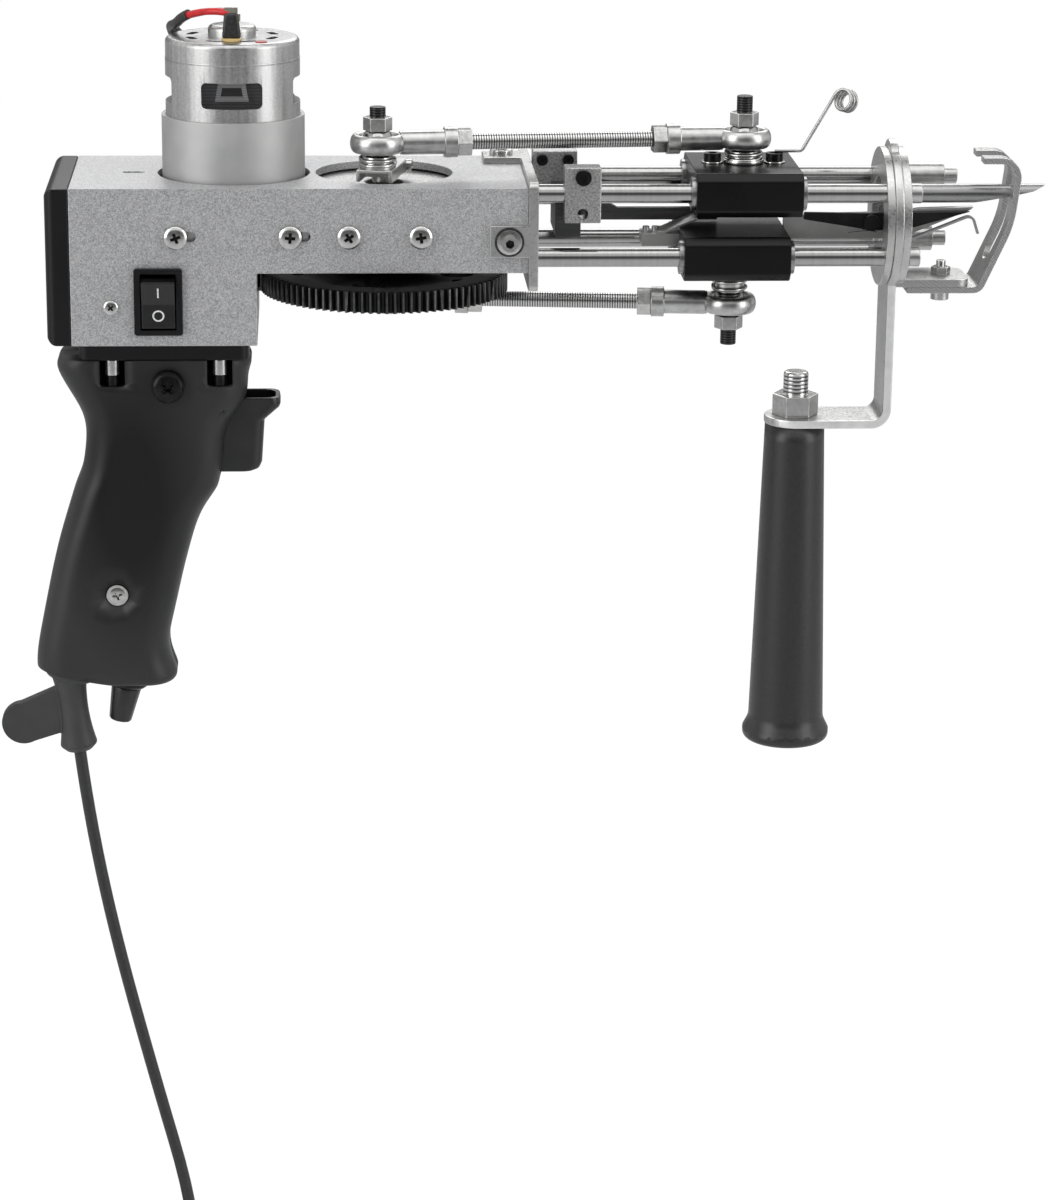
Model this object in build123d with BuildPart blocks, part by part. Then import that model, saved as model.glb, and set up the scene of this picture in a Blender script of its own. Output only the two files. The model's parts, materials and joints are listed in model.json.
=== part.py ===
"""Handheld cut-pile tufting machine, in millimetres, +Z up.

+X points along the needle, -Y is the side with the rocker switch. The origin is the
middle of the pistol grip, where the hand holds the machine.
"""
import os
from math import acos, atan2, cos, degrees, hypot, pi, radians, sin, sqrt, tan

from build123d import *

os.makedirs("parts", exist_ok=True)

# Clearances that all the pieces share
fit = 0.05
gap = 0.3
overrun = 2.0

# Where the housing stands from the grip
rear_x = -17.0
top_z = 110.0

# Housing, a box with a deep rear part as far as the gear and a shallow front part
housing_length = 141.5
housing_width = 60.0
housing_wall = 2.5
rear_part_height = 49.3
front_part_height = 26.5
motor_hole_radius = 23.75
crank_hole_radius = 21.5
front_x = rear_x + housing_length
floor_z = top_z - front_part_height
base_z = top_z - rear_part_height
side_y = housing_width / 2
inner_y = side_y - housing_wall
inner_floor_z = floor_z + housing_wall

# Gear pair, with the gear's shaft under the crank hole
gear_module = 0.8
gear_teeth = 96
pinion_teeth = 22
backlash = 0.16
gear_thickness = 6.6
gear_drop = 4.2
gear_side_gap = 0.8
shaft_share = 0.68905
shaft_x = rear_x + housing_length * shaft_share
motor_x = shaft_x - gear_module * (gear_teeth + pinion_teeth) / 2
step_x = shaft_x - gear_module * (gear_teeth + 2) / 2 - gear_side_gap
gear_top_z = floor_z - gear_drop
gear_bottom_z = gear_top_z - gear_thickness

# Crank, whose two pins stand opposite each other
crank_radius = 10.0
crank_angle = -102.7
crank_dx = crank_radius * cos(radians(crank_angle))
crank_dy = crank_radius * sin(radians(crank_angle))
crank_top = 3.1
crank_thickness = 3.8
crank_top_z = top_z + crank_top
gear_shaft_radius = 4.0

# Guide rods, two above and two below
rod_radius = 3.0
rod_half_span = 16.0
rod_pitch = 20.2
upper_rod_drop = 4.1
upper_z = top_z - upper_rod_drop
lower_z = upper_z - rod_pitch
middle_z = (upper_z + lower_z) / 2
rod_ends = [(y, z) for y in (-rod_half_span, rod_half_span) for z in (upper_z, lower_z)]

# Screws named by their thread
m2_radius = 1.0
m3_radius = 1.5
m4_radius = 2.0
m5_radius = 2.5
m8_radius = 4.0
m5_nut = 8.0
m5_nut_height = 4.2


def up(x, y, z):
    return Plane(origin=(x, y, z))


def down(x, y, z):
    return Plane(origin=(x, y, z), x_dir=(1, 0, 0), z_dir=(0, 0, -1))


def ahead(x, y, z):
    return Plane(origin=(x, y, z), x_dir=(0, 1, 0), z_dir=(1, 0, 0))


def near(x, y, z):
    return Plane(origin=(x, y, z), x_dir=(1, 0, 0), z_dir=(0, -1, 0))


def far(x, y, z):
    return Plane(origin=(x, y, z), x_dir=(-1, 0, 0), z_dir=(0, 1, 0))


def bar(place, radius, length, mode=Mode.ADD):
    """A round bar that starts on a plane and runs along its normal."""
    with BuildSketch(place) as face:
        Circle(radius)
    extrude(face.sketch, amount=length, mode=mode)


def hex_bar(place, across_flats, length, mode=Mode.ADD):
    """A hexagonal bar, given its size across the flats."""
    with BuildSketch(place) as face:
        RegularPolygon(across_flats / 2, side_count=6, major_radius=False)
    extrude(face.sketch, amount=length, mode=mode)


def slab(place, width, depth, length, mode=Mode.ADD):
    """A rectangular bar, with its width along the plane's X."""
    with BuildSketch(place) as face:
        Rectangle(width, depth)
    extrude(face.sketch, amount=length, mode=mode)


def tube(place, outer, inner, length, mode=Mode.ADD):
    """A round tube that starts on a plane."""
    with BuildSketch(place) as face:
        Circle(outer)
        Circle(inner, mode=Mode.SUBTRACT)
    extrude(face.sketch, amount=length, mode=mode)


def cross_screw(place, shank, head, height, length):
    """A pan head screw with a cross recess, its head on the plane."""
    with BuildSketch(place) as face:
        Circle(head)
    extrude(face.sketch, amount=height)
    bar(place.offset(-length), shank, length)
    for turn in (0, 90):
        with BuildSketch(place.offset(height)) as recess:
            Rectangle(head * 1.1, head * 0.28, rotation=turn)
        extrude(recess.sketch, amount=-height * 0.5, mode=Mode.SUBTRACT)


def socket_screw(place, shank, head, height, length):
    """A socket head screw, its head on the plane."""
    bar(place, head, height)
    bar(place.offset(-length), shank, length)
    hex_bar(place.offset(height), head, -height * 0.6, mode=Mode.SUBTRACT)


def gear_outline(teeth, turn):
    """Points of an involute gear's outline, its first tooth at the turn given in radians."""
    pitch_radius = gear_module * teeth / 2
    base_radius = pitch_radius * cos(radians(20))
    root_radius = pitch_radius - gear_module * 1.25
    tip_radius = pitch_radius + gear_module

    def half_tooth(radius):
        slope = acos(base_radius / max(radius, base_radius))
        at_pitch = tan(radians(20)) - radians(20)
        return pi / (2 * teeth) - backlash / (4 * pitch_radius) + at_pitch - (tan(slope) - slope)

    points = []
    for tooth in range(teeth):
        middle = turn + 2 * pi * tooth / teeth
        for radius in (root_radius, pitch_radius, tip_radius):
            angle = middle - half_tooth(radius)
            points.append((radius * cos(angle), radius * sin(angle)))
        for radius in (tip_radius, pitch_radius, root_radius):
            angle = middle + half_tooth(radius)
            points.append((radius * cos(angle), radius * sin(angle)))
    return points


# Housing
screw_drop = 15.0
bracket_half_pitch = 17.6
block_screws_behind = 11.5
block_screws_ahead = 10.7
bracket_screws = (motor_x - bracket_half_pitch, motor_x + bracket_half_pitch)
block_screws = (shaft_x - block_screws_behind, shaft_x + block_screws_ahead)
adjust_slot = 9.5
adjust_offset = 1.4
small_screw_share = 0.633
small_screw_drop = 36.9
lead_hole_radius = 1.7
lead_spots = ((-17.3, 17.9), (-14.2, 20.9))
rear_slot_share = 0.715
rear_slot_length = 7.0
rear_slot_width = 3.0
pinion_slot_half = 12.0
switch_share = 0.471
switch_drop = 35.1
switch_hole_width = 13.4
switch_hole_height = 19.2
stud_spots = (11.5, 45.3)
stud_half_span = 11.5
shaft_hole_radius = gear_shaft_radius + 1.5 * m3_radius
bezel_width = 15.0
switch_x = rear_x + (step_x - rear_x) * switch_share
small_screw_x = rear_x + (switch_x - bezel_width / 2 - rear_x) * small_screw_share
rear_slot_x = rear_x + (motor_x - motor_hole_radius - rear_x) * rear_slot_share
switch_z = top_z - switch_drop
screw_z = top_z - screw_drop
tab_from_front = 6.0
tab_drop = 16.3
top_tab_y = 21.0
tab_x = front_x - tab_from_front
tab_z = top_z - tab_drop

with BuildPart() as housing:
    with BuildSketch(Plane.XZ):
        with BuildLine():
            Polyline(
                (rear_x, top_z),
                (front_x, top_z),
                (front_x, floor_z),
                (step_x, floor_z),
                (step_x, base_z),
                (rear_x, base_z),
                close=True,
            )
        make_face()
    extrude(amount=side_y, both=True)
    with BuildSketch(Plane.XZ):
        with BuildLine():
            Polyline(
                (rear_x - overrun, top_z - housing_wall),
                (front_x - housing_wall, top_z - housing_wall),
                (front_x - housing_wall, inner_floor_z),
                (step_x - housing_wall, inner_floor_z),
                (step_x - housing_wall, base_z + housing_wall),
                (rear_x - overrun, base_z + housing_wall),
                close=True,
            )
        make_face()
    extrude(amount=inner_y, both=True, mode=Mode.SUBTRACT)
    roof = top_z - housing_wall - overrun
    through = housing_wall + 2 * overrun
    bar(up(motor_x, 0, roof), motor_hole_radius, through, Mode.SUBTRACT)
    bar(up(shaft_x, 0, roof), crank_hole_radius, through, Mode.SUBTRACT)
    bar(up(shaft_x, 0, floor_z - overrun), shaft_hole_radius, through, Mode.SUBTRACT)
    for dx, dy in lead_spots:
        bar(up(motor_x + dx, dy, roof), lead_hole_radius, through, Mode.SUBTRACT)
    with BuildSketch(up(rear_slot_x, 0, roof)):
        SlotOverall(rear_slot_length, rear_slot_width)
    extrude(amount=through, mode=Mode.SUBTRACT)
    pinion_slot_height = gear_thickness + 2 * overrun
    pinion_slot_z = gear_bottom_z + gear_thickness / 2
    slab(ahead(step_x - housing_wall - overrun, 0, pinion_slot_z), 2 * pinion_slot_half,
         pinion_slot_height, through, Mode.SUBTRACT)
    slab(near(switch_x, -inner_y + overrun, switch_z), switch_hole_width,
         switch_hole_height, through, Mode.SUBTRACT)
    for y, z in rod_ends:
        bar(ahead(front_x - housing_wall - overrun, y, z), rod_radius + fit, through, Mode.SUBTRACT)
    for x in bracket_screws + block_screws:
        for place in (near(x, -inner_y + overrun, screw_z), far(x, inner_y - overrun, screw_z)):
            bar(place, m3_radius + fit, through, Mode.SUBTRACT)
    for x in bracket_screws:
        with BuildSketch(Plane.XZ.offset(inner_y - overrun)):
            with Locations((x + adjust_offset, screw_z)):
                SlotOverall(adjust_slot, 2 * m3_radius + 2 * fit)
        extrude(amount=through, mode=Mode.SUBTRACT)
    bar(near(small_screw_x, -inner_y + overrun, top_z - small_screw_drop), m2_radius + fit,
        through, Mode.SUBTRACT)
    for place in (near(tab_x, -inner_y + overrun, tab_z), far(tab_x, inner_y - overrun, tab_z)):
        bar(place, m5_radius + fit, through, Mode.SUBTRACT)
    bar(up(tab_x, top_tab_y, roof), m3_radius + fit, through, Mode.SUBTRACT)
    for spot in stud_spots:
        for y in (-stud_half_span, stud_half_span):
            bar(up(rear_x + spot, y, base_z - overrun), m4_radius + fit, through, Mode.SUBTRACT)
housing.part.label = "housing"
export_step(housing.part, "parts/housing.step")

# Rear cap, a moulded cover with a lip inside the box
cap_depth = 7.5
cap_wall = 2.5
cap_lip = 4.0
cap_round = 3.0
with BuildPart() as rear_cap:
    middle = (top_z + base_z) / 2
    slab(ahead(rear_x - cap_depth, 0, middle), housing_width, rear_part_height, cap_depth)
    fillet(rear_cap.faces().sort_by(Axis.X)[0].edges(), radius=cap_round)
    lip_width = 2 * (inner_y - fit)
    lip_height = rear_part_height - 2 * housing_wall - 2 * fit
    slab(ahead(rear_x, 0, middle), lip_width, lip_height, cap_lip)
    slab(ahead(rear_x - cap_depth + cap_wall, 0, middle), lip_width - 2 * cap_wall,
         lip_height - 2 * cap_wall, cap_depth + cap_lip, Mode.SUBTRACT)
rear_cap.part.label = "rear_cap"
export_step(rear_cap.part, "parts/rear_cap.step")

# Motor bracket, a folded plate on the housing's floor that carries the motor
bracket_plate = 2.0
bracket_rear = 24.0
bracket_front = 23.5
bracket_height = 16.0
bracket_y = inner_y - fit
motor_base_z = inner_floor_z + bracket_plate
motor_boss_radius = 8.75
motor_screw_half_span = 14.5
with BuildPart() as motor_bracket:
    length = bracket_rear + bracket_front
    middle = motor_x + (bracket_front - bracket_rear) / 2
    slab(up(middle, 0, inner_floor_z), length, 2 * bracket_y, bracket_height)
    slab(up(middle, 0, motor_base_z), length + 2 * overrun, 2 * bracket_y - 2 * bracket_plate,
         bracket_height, Mode.SUBTRACT)
    bar(up(motor_x, 0, inner_floor_z - overrun), motor_boss_radius + gap, through, Mode.SUBTRACT)
    for y in (-motor_screw_half_span, motor_screw_half_span):
        bar(up(motor_x, y, inner_floor_z - overrun), m4_radius + fit, through, Mode.SUBTRACT)
    for x in bracket_screws:
        for place in (near(x, -bracket_y + 2 * overrun, screw_z),
                      far(x, bracket_y - 2 * overrun, screw_z)):
            bar(place, m3_radius + fit, 3 * overrun, Mode.SUBTRACT)
motor_bracket.part.label = "motor_bracket"
export_step(motor_bracket.part, "parts/motor_bracket.step")

# Bearing block, a channel with a boss that holds the two bearings of the gear shaft
block_half_length = 20.0
block_wall = 3.0
block_drop = 6.0
block_boss_radius = 12.0
bearing_radius = 8.0
bearing_width = 5.0
block_top_z = top_z - block_drop
with BuildPart() as bearing_block:
    height = block_top_z - inner_floor_z
    slab(up(shaft_x, 0, inner_floor_z), 2 * block_half_length, 2 * bracket_y, height)
    slab(up(shaft_x, 0, inner_floor_z - overrun), 2 * block_half_length + 2 * overrun,
         2 * bracket_y - 2 * block_wall, height + overrun - block_wall, Mode.SUBTRACT)
    bar(up(shaft_x, 0, inner_floor_z), block_boss_radius, height - block_wall)
    bar(up(shaft_x, 0, inner_floor_z - overrun), gear_shaft_radius + gap, 2 * height, Mode.SUBTRACT)
    bar(up(shaft_x, 0, block_top_z - bearing_width), bearing_radius + fit, height, Mode.SUBTRACT)
    bar(down(shaft_x, 0, inner_floor_z + bearing_width), bearing_radius + fit, height, Mode.SUBTRACT)
    for x in block_screws:
        for place in (near(x, -bracket_y + 2 * overrun, screw_z),
                      far(x, bracket_y - 2 * overrun, screw_z)):
            bar(place, m3_radius + fit, 3 * overrun, Mode.SUBTRACT)
bearing_block.part.label = "bearing_block"
export_step(bearing_block.part, "parts/bearing_block.step")

with BuildPart() as shaft_bearings:
    for z in (inner_floor_z, block_top_z - bearing_width):
        tube(up(shaft_x, 0, z), bearing_radius, gear_shaft_radius + fit, bearing_width)
shaft_bearings.part.label = "shaft_bearings"
export_step(shaft_bearings.part, "parts/shaft_bearings.step")

# Motor, a can with a flux ring round it and a moulded end bell on top
can_radius = 21.0
can_top = 36.7
window_width = 18.7
window_height = 8.0
window_top = 30.9
window_depth = 5.0
window_corner = 1.6
can_groove = 0.25
can_base_round = 1.5
motor_shaft_depth = 4.0
can_top_z = top_z + can_top
with BuildPart() as motor_can:
    bar(up(motor_x, 0, motor_base_z), can_radius, can_top_z - motor_base_z)
    fillet(motor_can.edges().group_by(Axis.Z)[0], radius=can_base_round)
    tube(up(motor_x, 0, can_top_z - 3 * can_groove), can_radius + overrun, can_radius - can_groove,
         can_groove, Mode.SUBTRACT)
    window_z = top_z + window_top - window_height / 2
    for turn in (0, 90, 180, 270):
        outward = Vector(cos(radians(turn)), sin(radians(turn)), 0)
        window_back = Vector(motor_x, 0, window_z) + outward * (can_radius - window_depth)
        with BuildSketch(Plane(origin=window_back, x_dir=(-outward.Y, outward.X, 0), z_dir=outward)):
            RectangleRounded(window_width, window_height, window_corner)
        extrude(amount=2 * window_depth, mode=Mode.SUBTRACT)
    bar(down(motor_x, 0, motor_base_z), motor_boss_radius, bracket_plate)
    for y in (-motor_screw_half_span, motor_screw_half_span):
        bar(up(motor_x, y, motor_base_z - overrun), m4_radius + fit, 3 * overrun, Mode.SUBTRACT)
    bar(down(motor_x, 0, motor_base_z + motor_shaft_depth), m5_radius + gap,
        2 * motor_shaft_depth, Mode.SUBTRACT)
motor_can.part.label = "motor_can"
export_step(motor_can.part, "parts/motor_can.step")

flux_ring_wall = 1.3
flux_ring_top = 18.7
flux_ring_height = 27.0
slit_width = 0.6
slit_angle = -12.0
with BuildPart() as flux_ring:
    tube(up(motor_x, 0, top_z + flux_ring_top - flux_ring_height), can_radius + fit + flux_ring_wall,
         can_radius + fit, flux_ring_height)
    outward = Vector(cos(radians(slit_angle)), sin(radians(slit_angle)), 0)
    slit_place = Plane(origin=Vector(motor_x, 0, top_z) + outward * (can_radius - overrun),
                       x_dir=(-outward.Y, outward.X, 0), z_dir=outward)
    slab(slit_place, slit_width, 2 * flux_ring_height, 3 * overrun, Mode.SUBTRACT)
flux_ring.part.label = "flux_ring"
export_step(flux_ring.part, "parts/flux_ring.step")

bell_radius = 20.9
bell_height = 6.1
bell_round = 1.6
bell_boss_radius = 7.5
bell_boss_height = 3.6
vent_count = 8
vent_width = 2.6
vent_length = 6.0
vent_reach = 13.5
terminal_reach = 12.2
terminal_width = 4.8
terminal_plate = 0.8
terminal_height = 5.0
bell_top_z = can_top_z + bell_height
with BuildPart() as motor_end_bell:
    bar(up(motor_x, 0, can_top_z), bell_radius, bell_height)
    fillet(motor_end_bell.edges().group_by(Axis.Z)[-1], radius=bell_round)
    bar(up(motor_x, 0, bell_top_z), bell_boss_radius, bell_boss_height)
    fillet(motor_end_bell.edges().group_by(Axis.Z)[-1], radius=bell_round)
    with BuildSketch(up(motor_x, 0, bell_top_z)):
        with PolarLocations(vent_reach, vent_count, start_angle=180 / vent_count):
            SlotOverall(vent_length, vent_width, rotation=90)
    extrude(amount=-bell_height / 2, mode=Mode.SUBTRACT)
    for y in (-terminal_reach, terminal_reach):
        slab(up(motor_x, y, bell_top_z - bell_height / 2), terminal_width, terminal_plate,
             bell_height / 2 + terminal_height)
motor_end_bell.part.label = "motor_end_bell"
export_step(motor_end_bell.part, "parts/motor_end_bell.step")

# Motor leads, held by the machine all the way from the terminals into the housing
lead_radius = 1.1
sleeve_radius = 2.9
sleeve_height = 5.8
sleeve_rise = 1.0
lead_arch = 9.6
lead_shoulder = 7.4
lead_edge = 0.6
lead_drop = -6.0
lead_end = 8.0
lead_bend = 1.6
near_shoulder_shares = (-0.57, -0.46)
near_edge_shares = (-1.02, 0.44)
far_shoulder_shares = (-0.40, 0.66)
near_lead = (
    (motor_x, -terminal_reach, bell_top_z + sleeve_rise + sleeve_height - fit),
    (motor_x, -terminal_reach, bell_top_z + lead_arch),
    (motor_x + bell_radius * near_shoulder_shares[0], bell_radius * near_shoulder_shares[1],
     bell_top_z + lead_shoulder),
    (motor_x + bell_radius * near_edge_shares[0], bell_radius * near_edge_shares[1],
     bell_top_z + lead_edge),
    (motor_x + lead_spots[0][0], lead_spots[0][1], bell_top_z + lead_drop),
    (motor_x + lead_spots[0][0], lead_spots[0][1], top_z - lead_end),
)
far_lead = (
    (motor_x, terminal_reach, bell_top_z + sleeve_rise + sleeve_height - fit),
    (motor_x, terminal_reach, bell_top_z + lead_arch),
    (motor_x + bell_radius * far_shoulder_shares[0], bell_radius * far_shoulder_shares[1],
     bell_top_z + lead_shoulder),
    (motor_x + lead_spots[1][0], lead_spots[1][1], bell_top_z + lead_drop / 2),
    (motor_x + lead_spots[1][0], lead_spots[1][1], top_z - lead_end),
)
with BuildPart() as motor_leads:
    for route in (near_lead, far_lead):
        with BuildLine() as lead_path:
            FilletPolyline(*route, radius=lead_bend)
        with BuildSketch(Plane(origin=lead_path.line @ 0, z_dir=lead_path.line % 0)):
            Circle(lead_radius)
        sweep(path=lead_path.line)
        x, y, z = route[0]
        tube(up(x, y, bell_top_z + sleeve_rise), sleeve_radius, terminal_width / 2 + gap,
             sleeve_height - sleeve_rise)
        bar(up(x, y, bell_top_z + sleeve_height), sleeve_radius, sleeve_rise)
motor_leads.part.label = "motor_leads"
export_step(motor_leads.part, "parts/motor_leads.step")

# Screws of the housing and of the brackets on it
pan_head = 3.75
pan_height = 2.3
small_head = 2.35
small_height = 1.4
side_screw_length = 5.2
tab_plate = 2.0
tab_screw_head = 4.2
tab_screw_height = 3.4
tab_washer = 5.0
tab_washer_height = 1.0
motor_screw_length = 5.0
motor_screw_height = 2.0
with BuildPart() as housing_screws:
    for x in bracket_screws + block_screws:
        for place in (near(x, -side_y, screw_z), far(x, side_y, screw_z)):
            cross_screw(place, m3_radius, pan_head, pan_height, side_screw_length)
    cross_screw(near(small_screw_x, -side_y, top_z - small_screw_drop), m2_radius, small_head,
                small_height, side_screw_length)
    for place in (near(tab_x, -side_y - tab_plate, tab_z), far(tab_x, side_y + tab_plate, tab_z)):
        bar(place, tab_washer, tab_washer_height)
        socket_screw(place.offset(tab_washer_height), m5_radius, tab_screw_head, tab_screw_height,
                     side_screw_length + tab_washer_height)
    cross_screw(up(tab_x, top_tab_y, top_z + tab_plate), m3_radius, pan_head, pan_height,
                side_screw_length)
    for y in (-motor_screw_half_span, motor_screw_half_span):
        cross_screw(down(motor_x, y, inner_floor_z), m4_radius, pan_head, motor_screw_height,
                    motor_screw_length)
housing_screws.part.label = "housing_screws"
export_step(housing_screws.part, "parts/housing_screws.step")

# Front bracket, a folded plate with tabs on the housing's top and sides
front_plate = 3.0
front_plate_rise = 0.4
front_plate_drop = 32.1
tab_length = 12.0
tab_height = 10.0
top_tab_width = 13.0
bracket_x = front_x + front_plate
with BuildPart() as front_bracket:
    height = front_plate_drop + tab_plate
    slab(ahead(front_x, 0, top_z + tab_plate - height / 2), housing_width + 2 * tab_plate, height,
         front_plate)
    fillet(front_bracket.edges().filter_by(Axis.X), radius=tab_plate)
    for y in (-side_y - tab_plate / 2, side_y + tab_plate / 2):
        slab(ahead(front_x - tab_length, y, tab_z), tab_plate, tab_height, tab_length)
    slab(ahead(front_x - tab_length, top_tab_y, top_z + tab_plate / 2), top_tab_width, tab_plate,
         tab_length)
    for y, z in rod_ends:
        bar(ahead(front_x - overrun, y, z), rod_radius + fit, front_plate + 2 * overrun,
            Mode.SUBTRACT)
    for place in (near(tab_x, -side_y + overrun, tab_z), far(tab_x, side_y - overrun, tab_z)):
        bar(place, m5_radius + fit, 3 * overrun, Mode.SUBTRACT)
    bar(up(tab_x, top_tab_y, top_z - overrun), m3_radius + fit, 3 * overrun, Mode.SUBTRACT)
front_bracket.part.label = "front_bracket"
export_step(front_bracket.part, "parts/front_bracket.step")

# Rocker switch: a bezel with a body behind it, and a rocker on two stub pins
bezel_height = 21.0
bezel_plate = 1.8
switch_depth = 15.0
rocker_width = 10.4
rocker_half_height = 7.6
rocker_well = 9.0
rocker_well_half = 8.8
rocker_pivot_depth = 1.2
rocker_throw = 20.0
rocker_nose = 4.4
rocker_dip = 3.0
rocker_tail = 5.0
rocker_tail_half = 2.2
rocker_pin_radius = 1.0
rocker_pin_length = 0.9
pivot_y = -side_y + rocker_pivot_depth
with BuildPart() as switch_body:
    slab(near(switch_x, -side_y, switch_z), bezel_width, bezel_height, bezel_plate)
    fillet(switch_body.edges().filter_by(Axis.Y), radius=bezel_plate / 2)
    slab(far(switch_x, -side_y, switch_z), switch_hole_width - 2 * fit,
         switch_hole_height - 2 * fit, switch_depth)
    slab(near(switch_x, -side_y + rocker_well, switch_z), rocker_width + 2 * gap,
         2 * rocker_well_half, 2 * rocker_well, Mode.SUBTRACT)
    for place in (ahead(switch_x, pivot_y, switch_z),):
        pin_reach = rocker_width / 2 + gap + rocker_pin_length
        with BuildSketch(place.offset(-pin_reach)) as pin_hole:
            Circle(rocker_pin_radius + fit)
        extrude(pin_hole.sketch, amount=2 * pin_reach, mode=Mode.SUBTRACT)
switch_body.part.label = "switch_body"
export_step(switch_body.part, "parts/switch_body.step")

with BuildPart() as switch_rocker:
    outline = [
        (-rocker_nose, rocker_half_height),
        (-rocker_dip, 0),
        (-rocker_nose, -rocker_half_height),
        (0, -rocker_half_height),
        (rocker_tail, -rocker_tail_half),
        (rocker_tail, rocker_tail_half),
        (0, rocker_half_height),
    ]
    tilt = radians(rocker_throw / 2)
    turned = []
    for depth, rise in outline:
        across = pivot_y + depth * cos(tilt) - rise * sin(tilt)
        height = switch_z + depth * sin(tilt) + rise * cos(tilt)
        turned.append((across, height))
    with BuildSketch(Plane.YZ.offset(switch_x)):
        with BuildLine():
            Polyline(*turned, close=True)
        make_face()
    extrude(amount=rocker_width / 2, both=True)
    with BuildSketch(Plane.YZ.offset(switch_x)):
        with Locations((pivot_y, switch_z)):
            Circle(rocker_pin_radius)
    extrude(amount=rocker_width / 2 + gap + rocker_pin_length - fit, both=True)
switch_rocker.part.label = "switch_rocker"
export_step(switch_rocker.part, "parts/switch_rocker.step")

# Front end: rod end disc, handle arm and foot ring, one on the other
disc_plate = 2.5
arm_plate = 2.7
ring_plate = 2.5
disc_radius = 22.0
eye_radius = 12.5
disc_ahead = 113.2
disc_x = front_x + disc_ahead
arm_x = disc_x + disc_plate
ring_x = arm_x + arm_plate
nose_x = ring_x + ring_plate
end_screw_depth = 9.0

with BuildPart() as guide_rods:
    rod_start = front_x - housing_wall - overrun
    for y, z in rod_ends:
        bar(ahead(rod_start, y, z), rod_radius, disc_x - rod_start)
        bar(ahead(disc_x - end_screw_depth, y, z), m3_radius + fit, end_screw_depth, Mode.SUBTRACT)
guide_rods.part.label = "guide_rods"
export_step(guide_rods.part, "parts/guide_rods.step")


def plate_holes(start, thickness):
    """The eye that the needle works in, and the holes of the rod end screws."""
    bar(ahead(start - overrun, 0, middle_z), eye_radius, thickness + 2 * overrun, Mode.SUBTRACT)
    for y, z in rod_ends:
        bar(ahead(start - overrun, y, z), m3_radius + fit, thickness + 2 * overrun, Mode.SUBTRACT)


with BuildPart() as rod_end_disc:
    bar(ahead(disc_x, 0, middle_z), disc_radius, disc_plate)
    plate_holes(disc_x, disc_plate)
rod_end_disc.part.label = "rod_end_disc"
export_step(rod_end_disc.part, "parts/rod_end_disc.step")

# Handle arm, one flat bar with a ring, bent back under the carriages
arm_half_width = 10.0
arm_ear = 24.6
arm_ring_radius = 22.6
arm_bend = 3.5
arm_shelf_top = 79.0
handle_behind_disc = 24.5
shelf_top_z = top_z - arm_shelf_top
shelf_bottom_z = shelf_top_z - arm_plate
handle_x = disc_x - handle_behind_disc
arm_end_x = handle_x - arm_half_width
with BuildPart() as handle_arm:
    bar(ahead(arm_x, 0, middle_z), arm_ring_radius, arm_plate)
    with BuildSketch(ahead(arm_x, 0, middle_z)):
        with Locations((0, arm_ear - arm_half_width)):
            Circle(arm_half_width)
        with Locations((0, (arm_ear - arm_half_width) / 2)):
            Rectangle(2 * arm_half_width, arm_ear - arm_half_width)
    extrude(amount=arm_plate)
    with BuildSketch(Plane.XZ):
        with BuildLine():
            FilletPolyline(
                (arm_x + arm_plate, middle_z),
                (arm_x + arm_plate, shelf_bottom_z),
                (arm_end_x, shelf_bottom_z),
                radius=arm_bend + arm_plate,
            )
            Line((arm_end_x, shelf_bottom_z), (arm_end_x, shelf_top_z))
            FilletPolyline(
                (arm_end_x, shelf_top_z),
                (arm_x, shelf_top_z),
                (arm_x, middle_z),
                radius=arm_bend,
            )
            Line((arm_x, middle_z), (arm_x + arm_plate, middle_z))
        make_face()
    extrude(amount=arm_half_width, both=True)
    corners = handle_arm.edges().filter_by(Axis.Z).sort_by(Axis.X)[:2]
    fillet(corners, radius=arm_half_width - fit)
    bar(up(handle_x, 0, shelf_bottom_z - overrun), m8_radius + fit, arm_plate + 2 * overrun,
        Mode.SUBTRACT)
    plate_holes(arm_x, arm_plate)
handle_arm.part.label = "handle_arm"
export_step(handle_arm.part, "parts/handle_arm.step")

# Foot ring with the tab that the presser foot is bolted to
foot_half_width = 10.0
tab_top_drop = 33.0
foot_tab_plate = 2.4
foot_tab_reach = 21.2
foot_tab_corner = 4.0
foot_bolt_ahead = 13.3
foot_bolt_x = nose_x + foot_bolt_ahead
foot_tab_top_z = top_z - tab_top_drop
foot_top_z = foot_tab_top_z - foot_tab_plate
with BuildPart() as foot_ring:
    bar(ahead(ring_x, 0, middle_z), disc_radius, ring_plate)
    slab(ahead(ring_x, 0, foot_top_z + foot_tab_plate / 2), 2 * foot_half_width, foot_tab_plate,
         ring_plate + foot_tab_reach)
    fillet(foot_ring.edges().filter_by(Axis.Z).sort_by(Axis.X)[-2:], radius=foot_tab_corner)
    bar(up(foot_bolt_x, 0, foot_top_z - overrun), m3_radius + fit, foot_tab_plate + 2 * overrun,
        Mode.SUBTRACT)
    plate_holes(ring_x, ring_plate)
foot_ring.part.label = "foot_ring"
export_step(foot_ring.part, "parts/foot_ring.step")

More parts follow.
